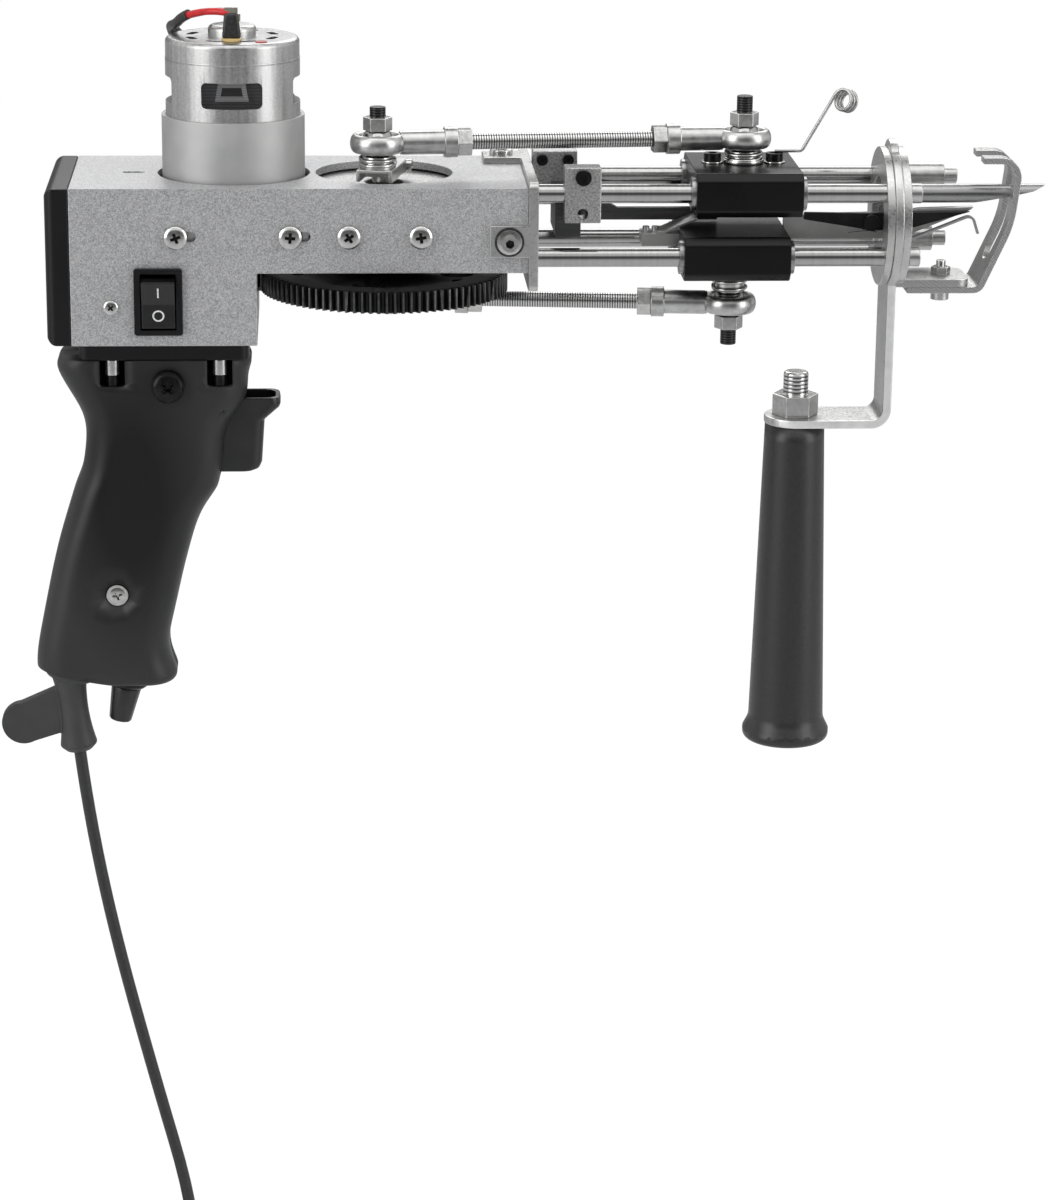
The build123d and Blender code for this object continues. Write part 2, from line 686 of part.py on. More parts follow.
# Screws into the ends of the rods, the far ones on long spacers
end_head = 3.1
end_head_height = 3.5
spacer_radius = 4.2
upper_spacer = 15.5
lower_spacer = 12.5
spacer_head = 2.6
spacer_head_height = 4.4
with BuildPart() as rod_end_screws:
    for z in (upper_z, lower_z):
        socket_screw(ahead(nose_x, -rod_half_span, z), m3_radius, end_head, end_head_height,
                     end_screw_depth)
    for z, reach in ((upper_z, upper_spacer), (lower_z, lower_spacer)):
        tube(ahead(nose_x, rod_half_span, z), spacer_radius, m3_radius + fit, reach)
        socket_screw(ahead(nose_x + reach, rod_half_span, z), m3_radius, spacer_head,
                     spacer_head_height, reach + end_screw_depth)
rod_end_screws.part.label = "rod_end_screws"
export_step(rod_end_screws.part, "parts/rod_end_screws.step")

# Presser foot: a slotted base that slides under the tab, and two prongs beside the needle
foot_plate = 2.0
foot_travel = 6.0
foot_back_travel = 0.8
foot_heel_reach = 10.9
foot_knee_reach = 20.2
foot_knee_drop = 15.5
foot_head_reach = 22.6
foot_head_rise = 5.0
foot_tip_reach = 10.7
foot_heel_bend = 3.0
foot_knee_bend = 34.0
foot_head_bend = 5.5
prong_gap_half = 4.2
prong_root_drop = 23.8
foot_middle_z = foot_top_z - foot_plate / 2
with BuildPart() as presser_foot:
    with BuildSketch(Plane.XZ):
        with BuildLine():
            FilletPolyline(
                (nose_x + foot_back_travel + gap, foot_middle_z),
                (foot_bolt_x + foot_heel_reach, foot_middle_z),
                (foot_bolt_x + foot_knee_reach, top_z - foot_knee_drop),
                (foot_bolt_x + foot_head_reach, top_z + foot_head_rise),
                (foot_bolt_x + foot_tip_reach, top_z + foot_head_rise),
                radius=[foot_heel_bend, foot_knee_bend, foot_head_bend],
            )
        trace(line_width=foot_plate)
    extrude(amount=foot_half_width, both=True)
    with BuildSketch(ahead(foot_bolt_x, 0, top_z - prong_root_drop)):
        Circle(prong_gap_half)
        with Locations((0, prong_root_drop)):
            Rectangle(2 * prong_gap_half, 2 * prong_root_drop)
    extrude(amount=foot_head_reach + overrun, mode=Mode.SUBTRACT)
    slot_middle = foot_bolt_x - (foot_travel - foot_back_travel) / 2
    slot_width = 2 * m3_radius + 2 * gap
    with BuildSketch(up(slot_middle, 0, foot_top_z - foot_plate - overrun)):
        SlotOverall(foot_travel + foot_back_travel + slot_width, slot_width)
    extrude(amount=foot_plate + 2 * overrun, mode=Mode.SUBTRACT)
presser_foot.part.label = "presser_foot"
export_step(presser_foot.part, "parts/presser_foot.step")

foot_washer = 4.6
foot_washer_plate = 0.8
foot_bolt_head = 2.9
foot_bolt_head_height = 3.0
foot_nut = 5.5
foot_nut_height = 2.4
foot_bolt_rise = 2.0
with BuildPart() as foot_bolt:
    low = foot_top_z - foot_plate - fit
    tube(down(foot_bolt_x, 0, low), foot_washer, m3_radius + fit, foot_washer_plate)
    shank = foot_tab_top_z - low + foot_washer_plate + foot_nut_height + foot_bolt_rise
    socket_screw(down(foot_bolt_x, 0, low - foot_washer_plate), m3_radius, foot_bolt_head,
                 foot_bolt_head_height, shank)
    hex_bar(up(foot_bolt_x, 0, foot_tab_top_z), foot_nut, foot_nut_height)
foot_bolt.part.label = "foot_bolt"
export_step(foot_bolt.part, "parts/foot_bolt.step")

# Front handle, a tapered grip with a rim, on an M8 stud
handle_length = 107.5
handle_top_radius = 9.6
handle_low_radius = 12.3
handle_rim_radius = 14.2
handle_rim_height = 5.0
handle_rim_flare = 9.0
handle_round = 1.2
stud_depth = 30.0
stud_rise = 14.2
nut_flats = 13.0
nut_height = 6.8
with BuildPart() as front_handle:
    low_z = shelf_bottom_z - handle_length
    with BuildSketch(Plane.XZ):
        with BuildLine():
            Polyline(
                (handle_x, shelf_bottom_z),
                (handle_x + handle_top_radius, shelf_bottom_z),
                (handle_x + handle_low_radius, low_z + handle_rim_flare),
            )
            Spline(
                (handle_x + handle_low_radius, low_z + handle_rim_flare),
                (handle_x + handle_rim_radius, low_z + handle_rim_height * 0.75),
                tangents=[(0.03, -1), (0.4, -1)],
            )
            Polyline(
                (handle_x + handle_rim_radius, low_z + handle_rim_height * 0.75),
                (handle_x + handle_rim_radius, low_z),
                (handle_x, low_z),
                (handle_x, shelf_bottom_z),
            )
        make_face()
    revolve(axis=Axis((handle_x, 0, 0), (0, 0, 1)))
    fillet(front_handle.edges().group_by(Axis.Z)[0], radius=handle_round * 2)
    bar(up(handle_x, 0, shelf_bottom_z - stud_depth - gap), m8_radius + fit,
        stud_depth + 2 * overrun, Mode.SUBTRACT)
front_handle.part.label = "front_handle"
export_step(front_handle.part, "parts/front_handle.step")

with BuildPart() as handle_stud:
    bar(up(handle_x, 0, shelf_bottom_z - stud_depth), m8_radius,
        stud_depth + arm_plate + stud_rise)
    chamfer(handle_stud.edges().group_by(Axis.Z)[-1], length=handle_round / 2)
    hex_bar(up(handle_x, 0, shelf_top_z), nut_flats, nut_height)
handle_stud.part.label = "handle_stud"
export_step(handle_stud.part, "parts/handle_stud.step")

# Stop blocks on the upper rods, with the knife cam bar between them
stop_height = 17.3
stop_depth = 8.0
near_stop_length = 11.4
far_stop_length = 14.2
near_stop_ahead = 11.8
far_stop_ahead = 3.7
stop_hole_rise = 5.8
stop_hole_radius = 1.65
far_stop_pitch = 8.3
near_stop_x = front_x + near_stop_ahead + near_stop_length / 2
far_stop_x = front_x + far_stop_ahead + far_stop_length / 2
stop_face_y = rod_half_span + stop_depth / 2
with BuildPart() as stop_blocks:
    for x, y, length in ((near_stop_x, -rod_half_span, near_stop_length),
                         (far_stop_x, rod_half_span, far_stop_length)):
        slab(ahead(x - length / 2, y, upper_z), stop_depth, stop_height, length)
        bar(ahead(x - length, y, upper_z), rod_radius + fit, 2 * length, Mode.SUBTRACT)
    for rise in (-stop_hole_rise, stop_hole_rise):
        bar(near(near_stop_x, -rod_half_span, upper_z + rise), stop_hole_radius, stop_depth,
            Mode.SUBTRACT)
        bar(far(near_stop_x, -rod_half_span, upper_z + rise), stop_hole_radius, stop_depth / 2,
            Mode.SUBTRACT)
    for dx in (-far_stop_pitch / 2, far_stop_pitch / 2):
        bar(near(far_stop_x + dx, stop_face_y, upper_z + stop_hole_rise), m2_radius + fit,
            2 * stop_depth, Mode.SUBTRACT)
stop_blocks.part.label = "stop_blocks"
export_step(stop_blocks.part, "parts/stop_blocks.step")

stop_screw_head = 2.5
stop_screw_height = 1.6
far_screw_head = 1.8
far_screw_height = 1.2
with BuildPart() as stop_block_screws:
    socket_screw(near(near_stop_x, -stop_face_y, upper_z + stop_hole_rise), m3_radius,
                 stop_screw_head, stop_screw_height, stop_depth)
    for dx in (-far_stop_pitch / 2, far_stop_pitch / 2):
        place = near(far_stop_x + dx, rod_half_span - stop_depth / 2, upper_z + stop_hole_rise)
        socket_screw(place, m2_radius, far_screw_head, far_screw_height, stop_depth)
stop_block_screws.part.label = "stop_block_screws"
export_step(stop_block_screws.part, "parts/stop_block_screws.step")

# Carriages, two black blocks with a bearing on each rod
block_length = 33.6
block_height = 14.0
block_half_depth = 22.0
block_edge = 2.3
bearing_outer = 5.3
bearing_length = 36.2
bearing_flange = 1.3
needle_block_ahead = 69.7
looper_block_ahead = 66.3
needle_block_x = front_x + needle_block_ahead
looper_block_x = front_x + looper_block_ahead
needle_top_z = upper_z + block_height / 2
looper_base_z = lower_z - block_height / 2
blade_slot_top_z = upper_z - block_height / 2
blade_slot_low_z = lower_z + block_height / 2

# Needle, a hollow tube that tapers below to an open slanted tip
needle_radius = 3.0
needle_bore = 2.2
needle_drop = 7.0
needle_tip_reach = 97.2
needle_taper_reach = 73.3
needle_tip_half = 1.0
needle_tip_slant = 4.5
needle_z = top_z - needle_drop
needle_tip_x = needle_block_x + needle_tip_reach
needle_rear_x = needle_block_x - block_length / 2
needle_top = needle_z + needle_radius

clamp_from_end = 6.95
clamp_half_pitch = block_length / 2 - clamp_from_end
clamp_head = 2.75
clamp_head_height = 2.6
clamp_washer = 3.4
clamp_washer_height = 0.6

with BuildPart() as needle_block:
    slab(ahead(needle_block_x - block_length / 2, 0, upper_z), 2 * block_half_depth, block_height,
         block_length)
    chamfer(needle_block.edges().filter_by(Axis.X), length=block_edge)
    for y in (-rod_half_span, rod_half_span):
        bar(ahead(needle_rear_x - overrun, y, upper_z), bearing_outer + fit,
            block_length + 2 * overrun, Mode.SUBTRACT)
    bar(ahead(needle_rear_x - overrun, 0, needle_z), needle_radius + fit,
        block_length + 2 * overrun, Mode.SUBTRACT)
    for dx in (-clamp_half_pitch, clamp_half_pitch):
        bar(up(needle_block_x + dx, 0, needle_z), m3_radius + fit, block_height, Mode.SUBTRACT)
needle_block.part.label = "needle_block"
export_step(needle_block.part, "parts/needle_block.step")


def bearing_pair(x, z):
    """Two linear bearings, one on each rod of a carriage."""
    for y in (-rod_half_span, rod_half_span):
        tube(ahead(x - bearing_length / 2, y, z), bearing_outer, rod_radius + fit, bearing_length)


with BuildPart() as needle_bearings:
    bearing_pair(needle_block_x, upper_z)
needle_bearings.part.label = "needle_bearings"
export_step(needle_bearings.part, "parts/needle_bearings.step")

with BuildPart() as needle:
    taper_x = needle_block_x + needle_taper_reach
    bar(ahead(needle_rear_x, 0, needle_z), needle_radius, needle_tip_x - needle_rear_x)
    bar(ahead(needle_rear_x - overrun, 0, needle_z), needle_bore,
        needle_tip_x - needle_rear_x + 2 * overrun, Mode.SUBTRACT)
    with BuildSketch(Plane.XZ):
        with BuildLine():
            Polyline(
                (taper_x, needle_z - needle_radius),
                (needle_tip_x - needle_tip_slant, needle_z + needle_tip_half),
                (needle_tip_x, needle_top + fit),
                (needle_tip_x + overrun, needle_top + fit),
                (needle_tip_x + overrun, needle_z - 2 * needle_radius),
                (taper_x, needle_z - 2 * needle_radius),
                close=True,
            )
        make_face()
    extrude(amount=2 * needle_radius, both=True, mode=Mode.SUBTRACT)
needle.part.label = "needle"
export_step(needle.part, "parts/needle.step")

with BuildPart() as needle_clamp_screws:
    for dx in (-clamp_half_pitch, clamp_half_pitch):
        place = up(needle_block_x + dx, 0, needle_top_z)
        bar(place, clamp_washer, clamp_washer_height)
        socket_screw(place.offset(clamp_washer_height), m3_radius, clamp_head, clamp_head_height,
                     needle_top_z - needle_top - fit + clamp_washer_height)
needle_clamp_screws.part.label = "needle_clamp_screws"
export_step(needle_clamp_screws.part, "parts/needle_clamp_screws.step")

# Yarn eyelet, sprung wire that ends in a coil of three turns
eyelet_wire = 0.6
eyelet_turns = 3
eyelet_radius = 3.4
eyelet_pitch = 1.7
eyelet_foot_dx = 9.4
eyelet_bend_dx = 18.0
eyelet_rise = 18.6
eyelet_top_dx = 28.6
eyelet_bend = 3.0
eyelet_z = needle_top_z + clamp_washer_height + clamp_head_height + eyelet_wire
with BuildPart() as yarn_eyelet:
    with BuildLine() as eyelet_path:
        foot = (needle_block_x + eyelet_foot_dx, 0, eyelet_z)
        knee = (needle_block_x + eyelet_bend_dx, 0, eyelet_z)
        crown = (needle_block_x + eyelet_top_dx, 0, eyelet_z + eyelet_rise)
        FilletPolyline(foot, knee, crown, radius=eyelet_bend)
        lean = Vector(crown[0] - knee[0], 0, crown[2] - knee[2]).normalized()
        here = Vector(*crown)
        heading = lean
        for turn in range(4 * eyelet_turns):
            side = Vector(heading.Z, 0, -heading.X)
            step = side * eyelet_radius + heading * eyelet_radius
            there = here + step + Vector(0, eyelet_pitch / 4, 0)
            TangentArc(here, there, tangent=heading)
            here = there
            heading = side
    with BuildSketch(Plane(origin=eyelet_path.line @ 0, z_dir=eyelet_path.line % 0)):
        RegularPolygon(eyelet_wire, side_count=8)
    sweep(path=eyelet_path.line)
yarn_eyelet.part.label = "yarn_eyelet"
export_step(yarn_eyelet.part, "parts/yarn_eyelet.step")

with BuildPart() as looper_block:
    slab(ahead(looper_block_x - block_length / 2, 0, lower_z), 2 * block_half_depth, block_height,
         block_length)
    chamfer(looper_block.edges().filter_by(Axis.X), length=block_edge)
    for y in (-rod_half_span, rod_half_span):
        bar(ahead(looper_block_x - block_length, y, lower_z), bearing_outer + fit,
            2 * block_length, Mode.SUBTRACT)
looper_block.part.label = "looper_block"
export_step(looper_block.part, "parts/looper_block.step")

with BuildPart() as looper_bearings:
    bearing_pair(looper_block_x, lower_z)
looper_bearings.part.label = "looper_bearings"
export_step(looper_bearings.part, "parts/looper_bearings.step")

# Looper, the fixed blade: a flat bar through the eye that ends in a long point
looper_plate = 2.6
looper_front = looper_block_x + block_length / 2
looper_top_drop = 14.0
looper_low_drop = 21.6
looper_eye_reach = 54.2
looper_rise_reach = 60.2
looper_tip_reach = 77.8
looper_tip_drop = 11.4
looper_nose = 1.0
blade_face_y = 0.0
looper_outline = [
    (looper_front, top_z - looper_top_drop),
    (looper_block_x + looper_eye_reach, top_z - looper_top_drop + looper_nose),
    (looper_block_x + looper_rise_reach, top_z - looper_tip_drop - looper_nose / 2),
    (looper_block_x + looper_tip_reach, top_z - looper_tip_drop),
    (looper_block_x + looper_tip_reach - looper_nose, top_z - looper_tip_drop - looper_nose),
    (looper_block_x + looper_eye_reach, top_z - looper_low_drop),
    (looper_front, top_z - looper_low_drop),
]
pivot_reach = 44.7
pivot_drop = 16.0
pivot_radius = 1.5
pivot_head = 2.6
pivot_head_height = 1.8
pivot_x = looper_block_x + pivot_reach
pivot_z = top_z - pivot_drop
with BuildPart() as looper:
    with BuildSketch(Plane.XZ.offset(-looper_plate - blade_face_y)):
        with BuildLine():
            Polyline(*looper_outline, close=True)
        make_face()
    extrude(amount=looper_plate)
    bar(far(pivot_x, -overrun, pivot_z), pivot_radius + fit, looper_plate + 2 * overrun,
        Mode.SUBTRACT)
looper.part.label = "looper"
export_step(looper.part, "parts/looper.step")

# Moving blade: it rocks on its pivot screw beside the looper and shears along it
blade_plate = 1.6
blade_clear = 0.1
blade_tail_reach = 23.2
blade_tail_drop = 13.6
blade_tail_half = 1.5
blade_back_drop = 13.2
blade_tip_reach = 76.4
blade_tip_drop = 12.7
blade_heel_reach = 58.2
blade_heel_drop = 17.8
blade_low_drop = 18.6
with BuildPart() as cutter_blade:
    with BuildSketch(Plane.XZ.offset(blade_face_y + blade_clear)):
        with BuildLine():
            Polyline(
                (looper_block_x + blade_tail_reach, top_z - blade_tail_drop + blade_tail_half / 2),
                (pivot_x, top_z - blade_back_drop),
                (looper_block_x + blade_tip_reach, top_z - blade_tip_drop),
                (looper_block_x + blade_heel_reach, top_z - blade_heel_drop),
                (pivot_x, top_z - blade_low_drop),
                (looper_block_x + blade_tail_reach, top_z - blade_tail_drop - blade_tail_half),
                close=True,
            )
        make_face()
    extrude(amount=blade_plate)
    bar(near(pivot_x, blade_face_y - blade_clear - blade_plate, pivot_z), pivot_head,
        pivot_head_height)
    bar(far(pivot_x, blade_face_y - blade_clear - blade_plate, pivot_z), pivot_radius,
        blade_plate + blade_clear + looper_plate)
cutter_blade.part.label = "cutter_blade"
export_step(cutter_blade.part, "parts/cutter_blade.step")

# Springs of the blades: a clip with a leaf behind the block, and beside the moving blade a
# hooked leaf that runs forward from the block
clip_half_width = 5.0
clip_reach = 12.0
clip_top_drop = 19.0
clip_height = 4.0
leaf_plate = 0.8
leaf_root = 5.0
leaf_rise = 3.6
leaf_run = 10.5
hook_width = 1.8
hook_root_drop = 22.4
hook_root_reach = 54.2
hook_bend_reach = 76.8
hook_bend_drop = 13.3
hook_end_reach = 78.8
hook_end_drop = 19.4
hook_curl = 2.2
clip_screw_radius = 1.1
clip_screw_shares = (0.62, 0.86)
with BuildPart() as blade_springs:
    clip_end = looper_block_x - block_length / 2
    clip_top_z = top_z - clip_top_drop
    slab(ahead(clip_end - clip_reach, 0, clip_top_z - clip_height / 2), 2 * clip_half_width,
         clip_height, clip_reach)
    for share in clip_screw_shares:
        bar(up(clip_end - clip_reach * share, 0, clip_top_z), clip_screw_radius, 2 * leaf_plate)
    with BuildSketch(Plane.XZ):
        with BuildLine():
            FilletPolyline(
                (clip_end - clip_reach + leaf_root, clip_top_z + leaf_plate / 2),
                (clip_end - leaf_root, clip_top_z + leaf_plate / 2),
                (clip_end + leaf_run - leaf_root, clip_top_z + leaf_plate / 2 + leaf_rise + leaf_plate),
                radius=leaf_plate,
            )
        trace(line_width=leaf_plate)
    extrude(amount=clip_half_width, both=True)
    with BuildSketch(Plane.XZ.offset(blade_face_y + blade_clear + blade_plate + gap)):
        with BuildLine():
            FilletPolyline(
                (looper_front, top_z - hook_root_drop),
                (looper_block_x + hook_root_reach, top_z - hook_root_drop),
                (looper_block_x + hook_bend_reach, top_z - hook_bend_drop),
                (looper_block_x + hook_end_reach, top_z - hook_end_drop),
                radius=[hook_curl * 3, hook_curl],
            )
        trace(line_width=leaf_plate)
    extrude(amount=hook_width)
blade_springs.part.label = "blade_springs"
export_step(blade_springs.part, "parts/blade_springs.step")

# Knife cam bar, screwed between the stop blocks and reaching between the carriages
cam_ahead = 9.5
cam_length = 8.0
cam_rise = 2.0
cam_low_drop = 18.6
cam_plate = 2.5
cam_plate_y = 8.5
cam_step_reach = 18.0
cam_slope = 3.0
cam_high_drop = 10.9
cam_top_drop = 12.6
cam_tip_reach = 53.0
cam_bottom_drop = 16.6
with BuildPart() as knife_cam_bar:
    cam_x = front_x + cam_ahead
    bridge_top = upper_z - rod_radius + cam_rise
    bridge_low = top_z - cam_low_drop
    slab(ahead(cam_x, 0, (bridge_top + bridge_low) / 2), 2 * (rod_half_span - stop_depth / 2),
         bridge_top - bridge_low, cam_length)
    with BuildSketch(Plane.XZ.offset(-cam_plate_y)):
        with BuildLine():
            Polyline(
                (cam_x + cam_length / 2, top_z - cam_high_drop),
                (cam_x + cam_step_reach, top_z - cam_high_drop),
                (cam_x + cam_step_reach + cam_slope, top_z - cam_top_drop),
                (cam_x + cam_tip_reach, top_z - cam_top_drop),
                (cam_x + cam_tip_reach, top_z - cam_bottom_drop),
                (cam_x + cam_length / 2, top_z - cam_bottom_drop),
                close=True,
            )
        make_face()
    extrude(amount=cam_plate)
    for dx in (-far_stop_pitch / 2, far_stop_pitch / 2):
        place = near(far_stop_x + dx, rod_half_span, upper_z + stop_hole_rise)
        bar(place, far_screw_head + gap, stop_depth, Mode.SUBTRACT)
knife_cam_bar.part.label = "knife_cam_bar"
export_step(knife_cam_bar.part, "parts/knife_cam_bar.step")

# Gear on its shaft, with the crank arm above and the lower crank pin below
web_recess = 1.0
rim_width = 7.5
hub_radius = 8.0
large_hole = 5.4
small_hole = 2.2
large_reach = 23.5
small_reach = 28.0
with BuildPart() as drive_gear:
    with BuildSketch(up(shaft_x, 0, gear_bottom_z)):
        with BuildLine():
            Polyline(*gear_outline(gear_teeth, 0), close=True)
        make_face()
        Circle(gear_shaft_radius, mode=Mode.SUBTRACT)
        with PolarLocations(large_reach, 4, start_angle=crank_angle):
            Circle(large_hole, mode=Mode.SUBTRACT)
        with PolarLocations(small_reach, 8, start_angle=crank_angle + 22.5):
            Circle(small_hole, mode=Mode.SUBTRACT)
    extrude(amount=gear_thickness)
    tube(up(shaft_x, 0, gear_top_z - web_recess), gear_module * gear_teeth / 2 - rim_width,
         hub_radius, 2 * web_recess, Mode.SUBTRACT)
    bar(up(shaft_x - crank_dx, -crank_dy, gear_bottom_z - overrun), m5_radius,
        gear_thickness + 2 * overrun, Mode.SUBTRACT)
drive_gear.part.label = "drive_gear"
export_step(drive_gear.part, "parts/drive_gear.step")

shaft_rise = 1.6
with BuildPart() as gear_shaft:
    bar(up(shaft_x, 0, gear_bottom_z), gear_shaft_radius, crank_top_z + shaft_rise - gear_bottom_z)
    chamfer(gear_shaft.edges().group_by(Axis.Z)[-1], length=shaft_rise / 4)
gear_shaft.part.label = "gear_shaft"
export_step(gear_shaft.part, "parts/gear_shaft.step")

crank_half_width = 5.7
crank_reach = 15.8
crank_tail = 8.6
crank_sheet = 1.2
crank_hub = 6.6
clamp_slit = 1.2
clamp_screw_reach = 6.6
crank_place = Plane(origin=(shaft_x, 0, crank_top_z), x_dir=(crank_dx, crank_dy, 0),
                    z_dir=(0, 0, 1))
with BuildPart() as crank_arm:
    with BuildSketch(crank_place):
        with Locations(((crank_reach - crank_tail) / 2, 0)):
            Rectangle(crank_reach + crank_tail, 2 * crank_half_width)
    extrude(amount=-crank_thickness)
    with BuildSketch(crank_place.offset(-crank_sheet)):
        with Locations(((crank_hub + crank_reach + overrun) / 2, 0)):
            Rectangle(crank_reach + overrun - crank_hub, 2 * crank_half_width - 2 * crank_sheet)
    extrude(amount=-crank_thickness, mode=Mode.SUBTRACT)
    with BuildSketch(crank_place):
        Circle(gear_shaft_radius + fit)
        with Locations((-crank_tail / 2 - overrun, 0)):
            Rectangle(crank_tail + overrun, clamp_slit)
        with Locations((crank_radius, 0)):
            Circle(m5_radius)
    extrude(amount=-2 * crank_thickness, mode=Mode.SUBTRACT)
    side = Vector(-crank_dy, crank_dx, 0).normalized()
    inward = Vector(crank_dx, crank_dy, 0).normalized()
    clamp_spot = (Vector(shaft_x, 0, crank_top_z - crank_thickness / 2)
                  - inward * clamp_screw_reach - side * 2 * crank_half_width)
    clamp_place = Plane(origin=clamp_spot, x_dir=(0, 0, 1), z_dir=side)
    bar(clamp_place, m2_radius + fit, 4 * crank_half_width, Mode.SUBTRACT)
crank_arm.part.label = "crank_arm"
export_step(crank_arm.part, "parts/crank_arm.step")

# Rod ends, links and the studs they turn on
eye_height = 10.8
lower_eye_drop = 42.3
ball_width = 8.0
eye_outer = 8.6
eye_width = 6.4
eye_round = 2.0
ball_radius = 6.0
stud_above_nut = 5.2
crank_stud_above_nut = 3.2
washer_radius = 5.7
neck_share = 0.86
low_head_radius = 4.6
low_head_height = 0.7
eye_z = top_z + eye_height
lower_eye_z = top_z - lower_eye_drop
upper_pin = (shaft_x + crank_dx, crank_dy)
lower_pin = (shaft_x - crank_dx, -crank_dy)


def pivot_stack(x, y, seat_z, ball_z, way, stud_end):
    """Spacers between a seat and a ball, a nut on the ball's other side, and the stud's end."""
    direct = up if way > 0 else down
    first = abs(ball_z - seat_z) - ball_width / 2
    bar(direct(x, y, seat_z), washer_radius, first * 0.4)
    bar(direct(x, y, seat_z + way * first * 0.4), washer_radius * neck_share, first * 0.6)
    bar(direct(x, y, seat_z), m5_radius, first + ball_width + m5_nut_height + stud_end)
    hex_bar(direct(x, y, seat_z + way * (first + ball_width)), m5_nut, m5_nut_height)


with BuildPart() as crank_pins:
    pivot_stack(*upper_pin, crank_top_z, eye_z, 1, crank_stud_above_nut)
    bar(down(*upper_pin, crank_top_z), m5_radius, crank_sheet)
    bar(up(*lower_pin, lower_eye_z - ball_width / 2), m5_radius - fit,
        gear_bottom_z + gear_thickness - web_recess - lower_eye_z + ball_width / 2)
    bar(down(*lower_pin, lower_eye_z - ball_width / 2), low_head_radius, low_head_height)
    clamp_head_place = Plane(origin=clamp_spot + side * 3 * crank_half_width, x_dir=(0, 0, 1),
                             z_dir=side)
    socket_screw(clamp_head_place, m2_radius, 2 * m2_radius * 0.95, 2 * m2_radius,
                 2 * crank_half_width - fit)
crank_pins.part.label = "crank_pins"
export_step(crank_pins.part, "parts/crank_pins.step")


def link_plane(start, end, z):
    """A plane at the first eye whose normal runs to the second one."""
    way = Vector(end[0] - start[0], end[1] - start[1], 0).normalized()
    return Plane(origin=(start[0], start[1], z), x_dir=(-way.Y, way.X, 0), z_dir=way)


def rod_end(x, y, z, toward):
    """A spherical rod end: a ball with a bore, a ring round it and a shank."""
    with BuildSketch(near(x, y, z)) as ring_face:
        with Locations((eye_outer / 2, 0)):
            RectangleRounded(eye_outer, eye_width, eye_round)
        Rectangle(2 * ball_radius, eye_width, mode=Mode.SUBTRACT)
    revolve(ring_face.sketch, axis=Axis((x, y, z), (0, 0, 1)))
    reach = shank_end - eye_outer + overrun
    shank_place = Plane(origin=Vector(x, y, z) + toward * (eye_outer - overrun / 2),
                        x_dir=(0, 0, 1), z_dir=toward)
    bar(shank_place, shank_radius, reach - overrun / 2)
    bar(Plane(origin=Vector(x, y, z) + toward * (shank_end - collar_length), x_dir=(0, 0, 1),
              z_dir=toward), collar_radius, collar_length)


shank_radius = 3.8
shank_end = 25.0
collar_length = 4.2
collar_radius = 4.8
jam_nut_height = 4.4
link_rod_radius = 2.45
thread_grip = 6.0


def rod_end_balls(start, end, z):
    """The balls of a link, each with a running bore for its stud."""
    for x, y in (start, end):
        with BuildSketch(near(x, y, z)) as ball_face:
            Circle(ball_radius - gap)
            Rectangle(2 * ball_radius, ball_width, mode=Mode.INTERSECT)
            with Locations((-ball_radius, 0)):
                Rectangle(2 * ball_radius + 2 * (m5_radius + fit), ball_width, mode=Mode.SUBTRACT)
        revolve(ball_face.sketch, axis=Axis((x, y, z), (0, 0, 1)))


def link_eyes(start, end, z):
    """The two rod ends of a link, bored for its threaded rod."""
    way = Vector(end[0] - start[0], end[1] - start[1], 0).normalized()
    rod_end(start[0], start[1], z, way)
    rod_end(end[0], end[1], z, way * -1)
    span = hypot(end[0] - start[0], end[1] - start[1])
    bar(link_plane(start, end, z).offset(shank_end - thread_grip), link_rod_radius,
        span - 2 * shank_end + 2 * thread_grip, Mode.SUBTRACT)


def link_rod(start, end, z):
    """A threaded rod with a jam nut at each rod end."""
    span = hypot(end[0] - start[0], end[1] - start[1])
    place = link_plane(start, end, z)
    bar(place.offset(shank_end - thread_grip), link_rod_radius,
        span - 2 * shank_end + 2 * thread_grip)
    hex_bar(place.offset(shank_end), m5_nut, jam_nut_height)
    hex_bar(place.offset(span - shank_end - jam_nut_height), m5_nut, jam_nut_height)


upper_seat = (needle_block_x, 0)
lower_seat = (looper_block_x, 0)
with BuildPart() as upper_rod_ends:
    link_eyes(upper_pin, upper_seat, eye_z)
    rod_end_balls(upper_pin, upper_seat, eye_z)
upper_rod_ends.part.label = "upper_rod_ends"
export_step(upper_rod_ends.part, "parts/upper_rod_ends.step")

with BuildPart() as upper_link_rod:
    link_rod(upper_pin, upper_seat, eye_z)
upper_link_rod.part.label = "upper_link_rod"
export_step(upper_link_rod.part, "parts/upper_link_rod.step")

with BuildPart() as upper_pivot_stud:
    pivot_stack(*upper_seat, needle_top_z + blade_clear, eye_z, 1, stud_above_nut)
upper_pivot_stud.part.label = "upper_pivot_stud"
export_step(upper_pivot_stud.part, "parts/upper_pivot_stud.step")

with BuildPart() as lower_rod_ends:
    link_eyes(lower_pin, lower_seat, lower_eye_z)
    rod_end_balls(lower_pin, lower_seat, lower_eye_z)
lower_rod_ends.part.label = "lower_rod_ends"
export_step(lower_rod_ends.part, "parts/lower_rod_ends.step")

with BuildPart() as lower_link_rod:
    link_rod(lower_pin, lower_seat, lower_eye_z)
lower_link_rod.part.label = "lower_link_rod"
export_step(lower_link_rod.part, "parts/lower_link_rod.step")

with BuildPart() as lower_pivot_stud:
    pivot_stack(*lower_seat, looper_base_z - blade_clear, lower_eye_z, -1, stud_above_nut)
lower_pivot_stud.part.label = "lower_pivot_stud"
export_step(lower_pivot_stud.part, "parts/lower_pivot_stud.step")

